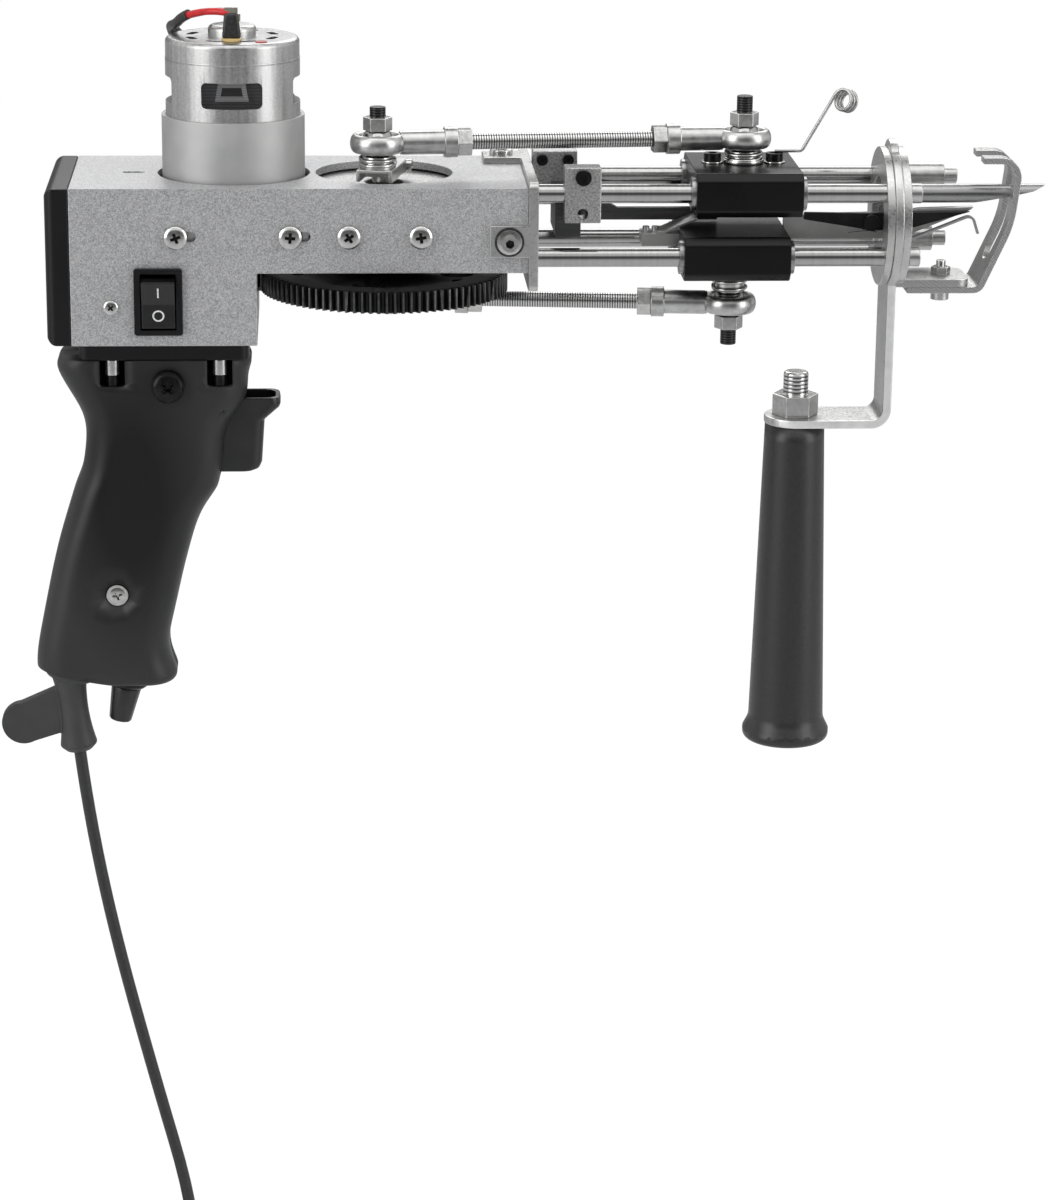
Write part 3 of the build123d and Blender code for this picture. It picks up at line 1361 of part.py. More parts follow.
# Pinion on the motor shaft
with BuildPart() as pinion:
    with BuildSketch(up(motor_x, 0, gear_bottom_z)):
        with BuildLine():
            Polyline(*gear_outline(pinion_teeth, pi / pinion_teeth), close=True)
        make_face()
        Circle(m5_radius, mode=Mode.SUBTRACT)
    extrude(amount=gear_thickness)
pinion.part.label = "pinion"
export_step(pinion.part, "parts/pinion.step")

with BuildPart() as motor_shaft:
    shaft_low_z = gear_bottom_z - overrun
    bar(up(motor_x, 0, shaft_low_z), m5_radius,
        motor_base_z + motor_shaft_depth - gap - shaft_low_z)
motor_shaft.part.label = "motor_shaft"
export_step(motor_shaft.part, "parts/motor_shaft.step")

# Grip: a block under the housing, two moulded shells, screws and spacers
grip_block_rear = 1.0
grip_block_front = 54.6
grip_block_height = 8.2
grip_block_half = 14.0
grip_block_round = 1.5
grip_top_z = base_z - grip_block_height
with BuildPart() as grip_block:
    slab(up(rear_x + (grip_block_rear + grip_block_front) / 2, 0, grip_top_z),
         grip_block_front - grip_block_rear, 2 * grip_block_half, grip_block_height)
    fillet(grip_block.edges().filter_by(Axis.Z), radius=grip_block_round * 2)
    for spot in stud_spots:
        for y in (-stud_half_span, stud_half_span):
            bar(up(rear_x + spot, y, grip_top_z - overrun), m4_radius + fit,
                grip_block_height + 2 * overrun, Mode.SUBTRACT)
grip_block.part.label = "grip_block"
export_step(grip_block.part, "parts/grip_block.step")

grip_reach = 60.0
grip_height = 104.0
grip_half_depth = 14.5
grip_corner = 10.0
grip_section_shares = (
    (0.0, -0.085, 0.910),
    (0.045, -0.098, 0.910),
    (0.090, -0.060, 0.900),
    (0.140, -0.010, 0.880),
    (0.190, 0.028, 0.825),
    (0.245, 0.040, 0.783),
    (0.330, 0.024, 0.768),
    (0.410, -0.020, 0.735),
    (0.490, -0.066, 0.650),
    (0.580, -0.114, 0.592),
    (0.700, -0.166, 0.537),
    (0.820, -0.210, 0.489),
    (0.900, -0.238, 0.462),
    (0.960, -0.252, 0.470),
    (1.040, -0.225, 0.500),
)
grip_base_drop = 160.9
grip_base_end_drop = 167.5
grip_base_run = 32.6
grip_base_from_rear = -12.1
grip_edge_round = 2.5
trigger_half_width = 7.0
trigger_top_drop = 71.5
trigger_base_drop = 95.7
trigger_cavity_from_rear = 22.0
trigger_clear = 0.4
notch_half_width = 4.0
notch_depth = 8.5
notch_inner = 8.3
low_screw_from_rear = 11.6
low_screw_drop = 134.4
low_screw_head = 3.5
low_screw_recess = 2.0
big_screw_from_rear = 29.0
big_screw_drop = 65.6
big_screw_head = 5.2
big_screw_height = 2.6
slope = atan2(grip_base_end_drop - grip_base_drop, grip_base_run)
base_normal = Vector(-sin(slope), 0, -cos(slope))
base_point = Vector(rear_x + grip_base_from_rear, 0, top_z - grip_base_drop)


def on_base(distance):
    """A point of the grip's sloping base, so far along it from its rear corner."""
    return base_point + Vector(cos(slope), 0, -sin(slope)) * distance


boot_from_corner = 7.8
knob_from_corner = 26.2
boot_neck_radius = 4.5
control_radius = 3.5
control_depth = 12.0
boot_hole_depth = 9.0
boot_place = Plane(origin=on_base(boot_from_corner), x_dir=(0, 1, 0), z_dir=base_normal)
knob_place = Plane(origin=on_base(knob_from_corner), x_dir=(0, 1, 0), z_dir=base_normal)

with BuildPart() as grip_body:
    for drop, back, front in grip_section_shares:
        with BuildSketch(up(rear_x, 0, grip_top_z - drop * grip_height)):
            with Locations(((back + front) / 2 * grip_reach, 0)):
                RectangleRounded((front - back) * grip_reach, 2 * grip_half_depth, grip_corner)
    loft()
    split(bisect_by=Plane(origin=base_point, z_dir=base_normal), keep=Keep.BOTTOM)
    fillet(grip_body.faces().sort_by(Axis.Z)[0].edges(), radius=grip_edge_round)
    cavity_top = top_z - trigger_top_drop + trigger_clear
    cavity_low = top_z - trigger_base_drop - trigger_clear
    slab(ahead(rear_x + trigger_cavity_from_rear, 0, (cavity_top + cavity_low) / 2),
         2 * (trigger_half_width + trigger_clear), cavity_top - cavity_low, grip_reach,
         Mode.SUBTRACT)
    for spot in stud_spots:
        for y in (-stud_half_span, stud_half_span):
            outward = y / stud_half_span
            notch_outer = grip_half_depth + overrun
            slab(up(rear_x + spot, outward * (notch_inner + notch_outer) / 2,
                    grip_top_z - notch_depth),
                 2 * notch_half_width, notch_outer - notch_inner, 2 * notch_depth, Mode.SUBTRACT)
            bar(up(rear_x + spot, y, grip_top_z - 2 * notch_depth), m4_radius + fit,
                2 * notch_depth, Mode.SUBTRACT)
    low_x = rear_x + low_screw_from_rear
    low_z = top_z - low_screw_drop
    for place in (near(low_x, -grip_half_depth + low_screw_recess, low_z),
                  far(low_x, grip_half_depth - low_screw_recess, low_z)):
        bar(place, low_screw_head + gap, grip_half_depth, Mode.SUBTRACT)
    bar(near(low_x, grip_half_depth, low_z), m3_radius + fit, 2 * grip_half_depth, Mode.SUBTRACT)
    bar(near(rear_x + big_screw_from_rear, grip_half_depth, top_z - big_screw_drop),
        m4_radius + fit, 2 * grip_half_depth, Mode.SUBTRACT)
    bar(boot_place.offset(-boot_hole_depth), boot_neck_radius + fit, boot_hole_depth + overrun,
        Mode.SUBTRACT)
    bar(knob_place.offset(-control_depth), control_radius + fit, control_depth + overrun,
        Mode.SUBTRACT)

with BuildPart() as grip_shell_left:
    add(grip_body.part)
    split(bisect_by=Plane.XZ, keep=Keep.TOP)
grip_shell_left.part.label = "grip_shell_left"
export_step(grip_shell_left.part, "parts/grip_shell_left.step")

with BuildPart() as grip_shell_right:
    add(grip_body.part)
    split(bisect_by=Plane.XZ, keep=Keep.BOTTOM)
grip_shell_right.part.label = "grip_shell_right"
export_step(grip_shell_right.part, "parts/grip_shell_right.step")

spacer_outer = 2.4
spacer_drop = 5.0
with BuildPart() as grip_screws:
    cross_screw(near(low_x, -grip_half_depth + low_screw_recess, low_z), m3_radius, low_screw_head,
                low_screw_recess, 2 * grip_half_depth - 2 * low_screw_recess)
    hex_bar(far(low_x, grip_half_depth - low_screw_recess, low_z), m3_radius * 3.6,
            low_screw_recess)
    cross_screw(near(rear_x + big_screw_from_rear, -grip_half_depth, top_z - big_screw_drop),
                m4_radius, big_screw_head, big_screw_height, 2 * grip_half_depth)
    for spot in stud_spots:
        for y in (-stud_half_span, stud_half_span):
            bar(up(rear_x + spot, y, grip_top_z - spacer_drop), spacer_outer, spacer_drop)
            bar(up(rear_x + spot, y, grip_top_z - notch_depth - spacer_drop), m4_radius,
                notch_depth + spacer_drop + grip_block_height + housing_wall)
grip_screws.part.label = "grip_screws"
export_step(grip_screws.part, "parts/grip_screws.step")

# Trigger with a flared, hollow lip, and the switch block that it pushes into
trigger_rear_from_rear = 41.0
trigger_front_from_rear = 59.2
trigger_lip_reach = 5.2
trigger_travel = 4.5
trigger_corner = 3.4
trigger_wall = 1.4
trigger_section_shares = (
    (0.0, 0.93),
    (0.09, 1.0),
    (0.14, 0.9),
    (0.31, 0.0),
    (0.88, -0.18),
    (0.97, -0.36),
    (1.0, -0.75),
)
hollow_shares = ((0.0, 0.93), (0.09, 0.9), (0.3, 0.0))
stem_half = 2.5
stem_length = 5.0
trigger_rear_x = rear_x + trigger_rear_from_rear
trigger_front_x = rear_x + trigger_front_from_rear
trigger_top_z = top_z - trigger_top_drop
trigger_low_z = top_z - trigger_base_drop
trigger_mid_z = (trigger_top_z + trigger_low_z) / 2


def trigger_sections(shares, inset):
    """Rounded sections down the trigger, drawn in by a wall where they are the hollow's."""
    sections = []
    for drop, reach in shares:
        rear = trigger_rear_x + inset
        front = trigger_front_x + trigger_lip_reach * reach - inset
        height = trigger_top_z - drop * (trigger_top_z - trigger_low_z)
        with BuildSketch(up((rear + front) / 2, 0, height)) as section:
            RectangleRounded(front - rear, 2 * (trigger_half_width - inset), trigger_corner)
        sections.append(section.sketch)
    return sections


with BuildPart() as trigger:
    loft(trigger_sections(trigger_section_shares, 0), ruled=True)
    loft(trigger_sections(hollow_shares, trigger_wall), ruled=True, mode=Mode.SUBTRACT)
    slab(ahead(trigger_rear_x - stem_length, 0, trigger_mid_z), 2 * stem_half, 2 * stem_half,
         stem_length + trigger_corner)
trigger.part.label = "trigger"
export_step(trigger.part, "parts/trigger.step")

switch_block_gap = 0.4
with BuildPart() as trigger_switch:
    block_start = rear_x + trigger_cavity_from_rear
    block_end = trigger_rear_x - trigger_travel - switch_block_gap
    slab(ahead(block_start, 0, trigger_mid_z), 2 * trigger_half_width,
         trigger_top_z - trigger_low_z, block_end - block_start)
    slab(ahead(trigger_rear_x - stem_length - trigger_travel - switch_block_gap, 0, trigger_mid_z),
         2 * (stem_half + fit), 2 * (stem_half + fit), grip_reach, Mode.SUBTRACT)
trigger_switch.part.label = "trigger_switch"
export_step(trigger_switch.part, "parts/trigger_switch.step")

# Speed control in the grip's base, with its knob
knob_collar_radius = 7.0
knob_collar_height = 2.8
knob_top_radius = 5.2
knob_end_radius = 3.9
knob_length = 12.5
knob_round = 1.0
knob_ribs = 14
knob_rib = 0.35
control_shaft = 1.5
with BuildPart() as speed_control:
    bar(knob_place.offset(-control_depth + fit), control_radius, control_depth - fit)
    bar(knob_place, knob_collar_radius, knob_collar_height)
    chamfer(speed_control.edges().group_by(Axis.Z)[0], length=knob_round)
    bar(knob_place.offset(knob_collar_height), control_shaft, knob_length / 2)
speed_control.part.label = "speed_control"
export_step(speed_control.part, "parts/speed_control.step")

with BuildPart() as speed_knob:
    knob_base = knob_place.offset(knob_collar_height + gap)
    for height, radius in ((0, knob_top_radius), (knob_length, knob_end_radius)):
        with BuildSketch(knob_base.offset(height)):
            Circle(radius)
    loft()
    with BuildSketch(knob_base):
        with PolarLocations(knob_top_radius, knob_ribs):
            Circle(knob_rib)
    extrude(amount=knob_length * 0.8, taper=degrees(atan2(knob_rib, knob_length)) / 2)
    bar(knob_base.offset(-overrun), control_shaft + fit, knob_length / 2 + overrun,
        Mode.SUBTRACT)
speed_knob.part.label = "speed_knob"
export_step(speed_knob.part, "parts/speed_knob.step")

# Cord boot with its bare hanging tab
boot_collar_radius = 8.2
boot_collar_height = 4.0
boot_top_radius = 5.9
boot_waist_radius = 4.7
boot_low_radius = 6.1
boot_waist_share = 0.48
boot_length = 25.0
boot_end_round = 2.0
cord_radius = 2.0
tab_plate_half = 1.9
tab_disc_radius = 7.1
tab_disc_dx = 16.8
tab_disc_drop = 13.5
tab_stem_top = 1.0
tab_stem_low = 17.2
boot_lean = 6.2
boot_top = on_base(boot_from_corner) + base_normal * boot_collar_height
boot_way = Vector(sin(radians(boot_lean)), 0, -cos(radians(boot_lean)))
boot_end = boot_top + boot_way * boot_length
boot_frame = Plane(origin=boot_top, x_dir=(-boot_way.Z, 0, boot_way.X), z_dir=(0, -1, 0))
with BuildPart() as cord_boot:
    bar(boot_place, boot_collar_radius, boot_collar_height)
    chamfer(cord_boot.edges().group_by(Axis.Z)[0], length=boot_end_round / 2)
    bar(boot_place.offset(-boot_hole_depth + gap), boot_neck_radius, boot_hole_depth)
    with BuildSketch(boot_frame):
        with BuildLine():
            root = boot_collar_height / 2
            Spline(
                (boot_top_radius, root),
                (boot_waist_radius, -boot_length * boot_waist_share),
                (boot_low_radius, boot_end_round - boot_length),
            )
            Polyline(
                (boot_low_radius, boot_end_round - boot_length),
                (boot_low_radius - boot_end_round, -boot_length),
                (0, -boot_length),
                (0, root),
                (boot_top_radius, root),
            )
        make_face()
    revolve(axis=Axis(boot_top, boot_way))
    with BuildSketch(boot_frame):
        with Locations((-tab_disc_dx, -tab_disc_drop)):
            Circle(tab_disc_radius)
        with BuildLine():
            Polyline(
                (0, -tab_stem_top),
                (-tab_disc_dx, tab_disc_radius - tab_disc_drop),
                (-tab_disc_dx, -tab_disc_drop - tab_disc_radius),
                (0, -tab_stem_low),
                close=True,
            )
        make_face()
    extrude(amount=tab_plate_half, both=True)
cord_boot.part.label = "cord_boot"
export_step(cord_boot.part, "parts/cord_boot.step")

# Cord: its route in the picture, then the coil of the length that isn't shown
first_run = 22.0
cord_route = [
    tuple(boot_end),
    tuple(boot_end + boot_way * first_run),
    (-9.6, 0, -146.0),
    (2.2, 0, -196.0),
    (15.4, 0, -248.0),
    (15.4, 0, -281.0),
]
cord_bends = []
for before, corner, after in zip(cord_route, cord_route[1:], cord_route[2:]):
    inward = Vector(*corner) - Vector(*before)
    onward = Vector(*after) - Vector(*corner)
    turn = radians(inward.get_angle(onward))
    cord_bends.append(0.45 * min(inward.length, onward.length) / tan(turn / 2))
print("cord radii", [round(bend, 1) for bend in cord_bends])
with BuildPart() as cord_run:
    with BuildLine() as cord_path:
        FilletPolyline(*cord_route, radius=cord_bends)
    with BuildSketch(Plane(origin=cord_path.line @ 0, z_dir=cord_path.line % 0)):
        Circle(cord_radius)
    sweep(path=cord_path.line)
cord_length = cord_path.wires()[0].length
print("cord run", round(cord_length, 1), "volume share",
      round(cord_run.part.volume / (pi * cord_radius ** 2 * cord_length), 4))
cord_run.part.label = "cord_run"
export_step(cord_run.part, "parts/cord_run.step")

# The coil spirals in and out again in four layers, and climbs a layer where it reverses
coil_pitch = 5.3
coil_layer = 5.3
coil_outer = 27.0
coil_layer_turns = (4, 4, 4, 5)
plug_lead = 18.0
coil_start_run = 2 * cord_radius
coil_centre = (cord_route[-1][0] - coil_outer, cord_route[-1][2] - coil_start_run)


def coil_stops():
    """Where each half turn starts and ends: its signed radius and its layer's depth."""
    radius = coil_outer
    stops = [(radius, 0)]
    side = 1
    inward = -1
    depth = 0
    for layer, turns in enumerate(coil_layer_turns):
        for _ in range(turns):
            side = -side
            radius += inward * coil_pitch / 2
            stops.append((side * radius, depth))
        if layer + 1 < len(coil_layer_turns):
            side = -side
            depth += coil_layer
            inward = -inward
            stops.append((side * radius, depth))
    return stops


def least_gap(wire, diameter):
    """Least gap of a tube to itself, measured on points along its path."""
    count = int(3 * wire.length / diameter)
    spots = [tuple(wire @ (step / count)) for step in range(count + 1)]
    skip = 12
    least = min((x - u) ** 2 + (y - v) ** 2 + (z - w) ** 2
                for first, (x, y, z) in enumerate(spots) for u, v, w in spots[first + skip:])
    return sqrt(least) - diameter


with BuildPart() as cord_coil:
    with BuildLine() as coil_path:
        heading = Vector(0, 0, -1)
        stops = coil_stops()
        Line(cord_route[-1], (cord_route[-1][0], 0, coil_centre[1]))
        for (start_x, start_y), (end_x, end_y) in zip(stops, stops[1:]):
            start = Vector(coil_centre[0] + start_x, start_y, coil_centre[1])
            end = Vector(coil_centre[0] + end_x, end_y, coil_centre[1])
            across = end - start
            crest = (start + end) * 0.5 + heading * (across.length / 2)
            TangentArc(start, crest, tangent=heading)
            TangentArc(crest, end, tangent=across.normalized())
            heading = heading * -1
        tail_start = Vector(coil_centre[0] + stops[-1][0], stops[-1][1], coil_centre[1])
        tail_end = tail_start - Vector(0, 0, plug_lead)
        Line(tail_start, tail_end)
    with BuildSketch(Plane(origin=cord_route[-1], x_dir=(1, 0, 0), z_dir=(0, 0, -1))):
        RegularPolygon(cord_radius, side_count=8)
    sweep(path=coil_path.line)
coil_wire = coil_path.wires()[0]
print("coil length", round(coil_wire.length, 1), "least gap",
      round(least_gap(coil_wire, 2 * cord_radius), 2))
cord_coil.part.label = "cord_coil"
export_step(cord_coil.part, "parts/cord_coil.step")

tie_width = 7.0
tie_plate = 1.2
tie_clear = 0.5
with BuildPart() as coil_tie:
    bundle_inner = coil_outer - 2 * coil_pitch - cord_radius - tie_clear
    bundle_outer = coil_outer + coil_pitch / 2 + cord_radius + tie_clear
    bundle_depth = (len(coil_layer_turns) - 1) * coil_layer + 2 * cord_radius + 2 * tie_clear
    place = Plane(origin=(coil_centre[0] - tie_width / 2,
                          (len(coil_layer_turns) - 1) * coil_layer / 2,
                          coil_centre[1] - (bundle_inner + bundle_outer) / 2),
                  x_dir=(0, 1, 0), z_dir=(1, 0, 0))
    slab(place, bundle_depth + 2 * tie_plate, bundle_outer - bundle_inner + 2 * tie_plate,
         tie_width)
    fillet(coil_tie.edges().filter_by(Axis.X), radius=tie_plate)
    slab(place.offset(-overrun), bundle_depth, bundle_outer - bundle_inner,
         tie_width + 2 * overrun, Mode.SUBTRACT)
coil_tie.part.label = "coil_tie"
export_step(coil_tie.part, "parts/coil_tie.step")

# Barrel plug at the far end
relief_length = 8.0
relief_radius = 3.2
plug_length = 22.0
plug_radius = 5.0
barrel_length = 9.5
barrel_radius = 2.75
barrel_bore = 1.05
plug_round = 1.0
with BuildPart() as dc_plug:
    for height, radius in ((0, relief_radius), (relief_length, relief_radius + plug_round)):
        with BuildSketch(down(tail_end.X, tail_end.Y, tail_end.Z - height)):
            Circle(radius)
    loft()
    bar(down(tail_end.X, tail_end.Y, tail_end.Z - relief_length), plug_radius, plug_length)
    fillet(dc_plug.edges().group_by(Axis.Z)[0], radius=plug_round)
    plug_end_z = tail_end.Z - relief_length - plug_length
    tube(down(tail_end.X, tail_end.Y, plug_end_z), barrel_radius, barrel_bore, barrel_length)
dc_plug.part.label = "dc_plug"
export_step(dc_plug.part, "parts/dc_plug.step")
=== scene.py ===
"""Looks of a handheld cut-pile tufting machine, put together piece by piece."""
import json
from math import atan2, cos, hypot, pi, radians, sin

import bpy
from mathutils import Euler, Matrix, Vector


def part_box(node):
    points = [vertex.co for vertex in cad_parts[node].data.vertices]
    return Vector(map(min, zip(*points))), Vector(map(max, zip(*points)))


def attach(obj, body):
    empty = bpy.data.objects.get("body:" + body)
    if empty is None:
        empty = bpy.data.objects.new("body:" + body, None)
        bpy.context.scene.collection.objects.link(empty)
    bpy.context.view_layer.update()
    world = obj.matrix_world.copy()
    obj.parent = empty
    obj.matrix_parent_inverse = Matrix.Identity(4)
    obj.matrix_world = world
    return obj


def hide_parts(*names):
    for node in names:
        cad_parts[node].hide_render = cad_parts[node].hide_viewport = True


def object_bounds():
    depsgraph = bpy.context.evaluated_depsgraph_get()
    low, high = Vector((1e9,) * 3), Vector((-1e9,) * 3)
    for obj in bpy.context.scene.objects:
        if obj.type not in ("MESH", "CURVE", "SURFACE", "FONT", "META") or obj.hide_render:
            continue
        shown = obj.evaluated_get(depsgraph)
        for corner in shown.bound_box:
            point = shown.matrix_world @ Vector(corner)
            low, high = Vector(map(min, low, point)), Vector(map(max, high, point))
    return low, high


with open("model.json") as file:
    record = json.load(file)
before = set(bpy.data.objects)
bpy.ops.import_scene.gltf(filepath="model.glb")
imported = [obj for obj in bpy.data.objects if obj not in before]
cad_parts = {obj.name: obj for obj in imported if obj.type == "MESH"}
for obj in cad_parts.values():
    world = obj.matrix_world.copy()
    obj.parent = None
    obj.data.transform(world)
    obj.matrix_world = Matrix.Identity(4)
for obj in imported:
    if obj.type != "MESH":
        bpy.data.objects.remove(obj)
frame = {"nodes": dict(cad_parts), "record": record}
cad = frame["nodes"]
cad_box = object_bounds()
body_of_node = {node: body for body, nodes in frame["record"]["behaviour"]["bodies"].items()
                for node in nodes}
MM = 0.001

# Studio. The machine hangs in front of a white cove, as it would on a photographer's wire, with
# soft boxes above, behind and at each side, and a room whose dark bands the metal mirrors.
cove_white = "FFFFFF"
floor_size = 6.0
floor_below = 0.004
camera_place = (0.0555602, -1.1562410, 0.3161573)
camera_turn = (1.2793917, -0.0098604, -0.0578119)
camera_lens = 111.0
soft_boxes = (
    # name, place, point it looks at, width, height, watts
    ("top_box", (0.10, -0.25, 1.30), (0.10, 0.0, 0.05), 1.4, 1.0, 7.6),
    ("left_box", (-1.20, -0.90, 0.55), (0.10, 0.0, 0.03), 0.9, 1.4, 11.0),
    ("right_box", (1.40, -0.80, 0.45), (0.12, 0.0, 0.05), 0.7, 1.4, 8.0),
    ("back_box", (0.30, 1.20, 0.90), (0.10, 0.0, 0.05), 1.2, 0.8, 7.0),
)


def linear(colour):
    """An sRGB hex colour as the linear values that shaders take."""
    channels = [int(colour[i:i + 2], 16) / 255 for i in (0, 2, 4)]
    return [c / 12.92 if c <= 0.04045 else ((c + 0.055) / 1.055) ** 2.4 for c in channels] + [1.0]


def add_node(tree, kind, inputs=None, **settings):
    """Adds one shader node. An input takes a value, or another node's output."""
    made = tree.nodes.new(kind)
    for name, value in settings.items():
        setattr(made, name, value)
    for name, value in (inputs or {}).items():
        if isinstance(value, bpy.types.NodeSocket):
            tree.links.new(value, made.inputs[name])
        else:
            made.inputs[name].default_value = value
    return made


def set_stops(ramp, stops):
    """Gives a colour ramp its stops, each a place and a hex colour."""
    elements = ramp.color_ramp.elements
    while len(elements) > 1:
        elements.remove(elements[-1])
    elements[0].position, elements[0].color = stops[0][0], linear(stops[0][1])
    for place, colour in stops[1:]:
        elements.new(place).color = linear(colour)
    return ramp


def in_scene(name, data):
    """An object made of this data, in the scene."""
    made = bpy.data.objects.new(name, data)
    bpy.context.scene.collection.objects.link(made)
    return made


world = bpy.data.worlds.new("white_cove")
world.use_nodes = True
bpy.context.scene.world = world
sky = world.node_tree
sky.nodes.clear()
seen = add_node(sky, "ShaderNodeLightPath")
direction = add_node(sky, "ShaderNodeTexCoord")
parts_of = add_node(sky, "ShaderNodeSeparateXYZ", {"Vector": direction.outputs["Generated"]})
level = add_node(sky, "ShaderNodeMapRange", {"Value": parts_of.outputs["Z"], "From Min": -1.0})
room = set_stops(add_node(sky, "ShaderNodeValToRGB", {"Fac": level.outputs["Result"]}), (
    (0.06, "4A4A4A"), (0.16, "C8C8C8"), (0.40, "EDEDED"), (0.47, "8E8E8E"), (0.58, "7A7A7A"),
    (0.68, "8A8A8A"), (0.74, "FFFFFF"), (0.88, "FFFFFF"), (0.93, "5A5A5A"), (1.0, "6A6A6A")))
aside = add_node(sky, "ShaderNodeMath", {0: parts_of.outputs["X"]}, operation="ABSOLUTE")
beside = add_node(sky, "ShaderNodeMapRange", {"Value": aside.outputs[0], "From Min": 0.55,
                                              "From Max": 0.92})
walls = add_node(sky, "ShaderNodeMix", {
    "Factor": beside.outputs["Result"], 6: room.outputs["Color"], 7: linear("EDEDED")},
    data_type="RGBA")
towards = add_node(sky, "ShaderNodeMapRange", {"Value": parts_of.outputs["Y"], "From Min": -1.0,
                                               "From Max": -0.75, "To Min": 0.52, "To Max": 1.0})
banded = add_node(sky, "ShaderNodeBackground", {"Color": walls.outputs[2],
                                                "Strength": towards.outputs["Result"]})
filled = add_node(sky, "ShaderNodeBackground", {"Color": linear("F6F7FA"), "Strength": 0.40})
shown = add_node(sky, "ShaderNodeBackground", {"Color": linear(cove_white), "Strength": 1.0})
glossy = add_node(sky, "ShaderNodeMixShader", {
    "Fac": seen.outputs["Is Glossy Ray"], 1: filled.outputs[0], 2: banded.outputs[0]})
clear = add_node(sky, "ShaderNodeMixShader", {
    "Fac": seen.outputs["Is Transmission Ray"], 1: glossy.outputs[0], 2: shown.outputs[0]})
final = add_node(sky, "ShaderNodeMixShader", {
    "Fac": seen.outputs["Is Camera Ray"], 1: clear.outputs[0], 2: shown.outputs[0]})
add_node(sky, "ShaderNodeOutputWorld", {"Surface": final.outputs[0]})

floor_paint = bpy.data.materials.new("cove_paint")
floor_paint.use_nodes = True
tree = floor_paint.node_tree
tree.nodes.clear()
path = add_node(tree, "ShaderNodeLightPath")
matt = add_node(tree, "ShaderNodeBsdfDiffuse", {"Color": linear("E4E4E4")})
glow = add_node(tree, "ShaderNodeEmission", {"Color": linear(cove_white), "Strength": 1.06})
share = add_node(tree, "ShaderNodeMath", {0: path.outputs["Is Camera Ray"], 1: 0.92},
                 operation="MULTIPLY")
mixed = add_node(tree, "ShaderNodeMixShader", {"Fac": share.outputs[0], 1: matt.outputs[0],
                                               2: glow.outputs[0]})
add_node(tree, "ShaderNodeOutputMaterial", {"Surface": mixed.outputs[0]})
bpy.ops.object.select_all(action="DESELECT")
bpy.ops.mesh.primitive_plane_add(size=floor_size, location=(0, 0, cad_box[0][2] - floor_below))
floor = bpy.context.object
floor.name = "floor"
floor.data.materials.append(floor_paint)

for name, place, aim, width, tall, watts in soft_boxes:
    lamp = bpy.data.lights.new(name, "AREA")
    lamp.shape = "RECTANGLE"
    lamp.size, lamp.size_y, lamp.energy = width, tall, watts
    box = in_scene(name, lamp)
    box.location = place
    box.rotation_euler = (Vector(aim) - Vector(place)).to_track_quat("-Z", "Y").to_euler()

lens = bpy.data.cameras.new("camera")
lens.lens = camera_lens
lens.clip_end = 20
camera = in_scene("camera", lens)
camera.location = camera_place
camera.rotation_euler = Euler(camera_turn)
bpy.context.scene.camera = camera
bpy.context.scene.view_settings.view_transform = "Standard"

# Cord, 4 mm of flexible two-core lead in soft black PVC. It leaves the boot, hangs, and the
# length that isn't shown is wound into a coil with a strap, with its barrel plug hanging out.
cord_thickness = 0.004
cord_points = [
    (-0.019579, 0, -0.081036),
    (-0.017203, 0, -0.102907),
    (-0.0096, 0, -0.146),
    (0.0022, 0, -0.196),
    (0.0154, 0, -0.248),
    (0.0154, 0, -0.281),
]
coil_middle = (-0.0116, -0.285)
coil_radius = 0.027
coil_pitch = 0.0053
coil_layer = 0.0053
coil_layer_half_turns = (4, 4, 4, 5)
points_in_half_turn = 8
plug_lead = 0.018


def new_surface(name, roughness, metallic=0.0):
    """A material, its tree, its shader and the place on the piece that its patterns read."""
    material = bpy.data.materials.new(name)
    material.use_nodes = True
    tree = material.node_tree
    shader = tree.nodes["Principled BSDF"]
    shader.inputs["Roughness"].default_value = roughness
    shader.inputs["Metallic"].default_value = metallic
    return material, tree, shader, add_node(tree, "ShaderNodeTexCoord").outputs["Object"]


def lay_on(tree, shader, pattern, tones, reach=(0.3, 0.7), dull=None, relief=None, grain=None):
    """Lays a pattern on a surface: its tones, placed at reach, its lowest and highest roughness
    (and from where to where in the pattern), and the strength and height in mm of its relief,
    which follows the grain if there is one."""
    tone = set_stops(add_node(tree, "ShaderNodeValToRGB", {"Fac": pattern}),
                     tuple(zip(reach, tones)))
    tree.links.new(tone.outputs["Color"], shader.inputs["Base Color"])
    if dull:
        spread = add_node(tree, "ShaderNodeMapRange", {"Value": pattern, **dict(zip(
            ("To Min", "To Max", "From Min", "From Max"), dull))})
        tree.links.new(spread.outputs["Result"], shader.inputs["Roughness"])
    if relief:
        raised = add_node(tree, "ShaderNodeBump", {
            "Height": grain or pattern, "Strength": relief[0], "Distance": relief[1] * MM})
        tree.links.new(raised.outputs["Normal"], shader.inputs["Normal"])


def speckled(name, roughness, metallic, cloud, tones, grain=None, specular=0.5, stretch=None,
             **laid):
    """A material with clouds, and maybe a grain for its relief, each a scale and a detail.
    Clouds are drawn out along the axis whose share in stretch is small."""
    material, tree, shader, place = new_surface(name, roughness, metallic)
    shader.inputs["Specular IOR Level"].default_value = specular
    if stretch:
        place = add_node(tree, "ShaderNodeMapping", {
            "Vector": place, "Scale": stretch}).outputs[0]
    spots = [add_node(tree, "ShaderNodeTexNoise", {
        "Vector": place, "Scale": scale, "Detail": detail}).outputs["Fac"]
        for scale, detail in ((cloud, grain) if grain else (cloud,))]
    lay_on(tree, shader, spots[0], tones, grain=spots[-1], **laid)
    return material


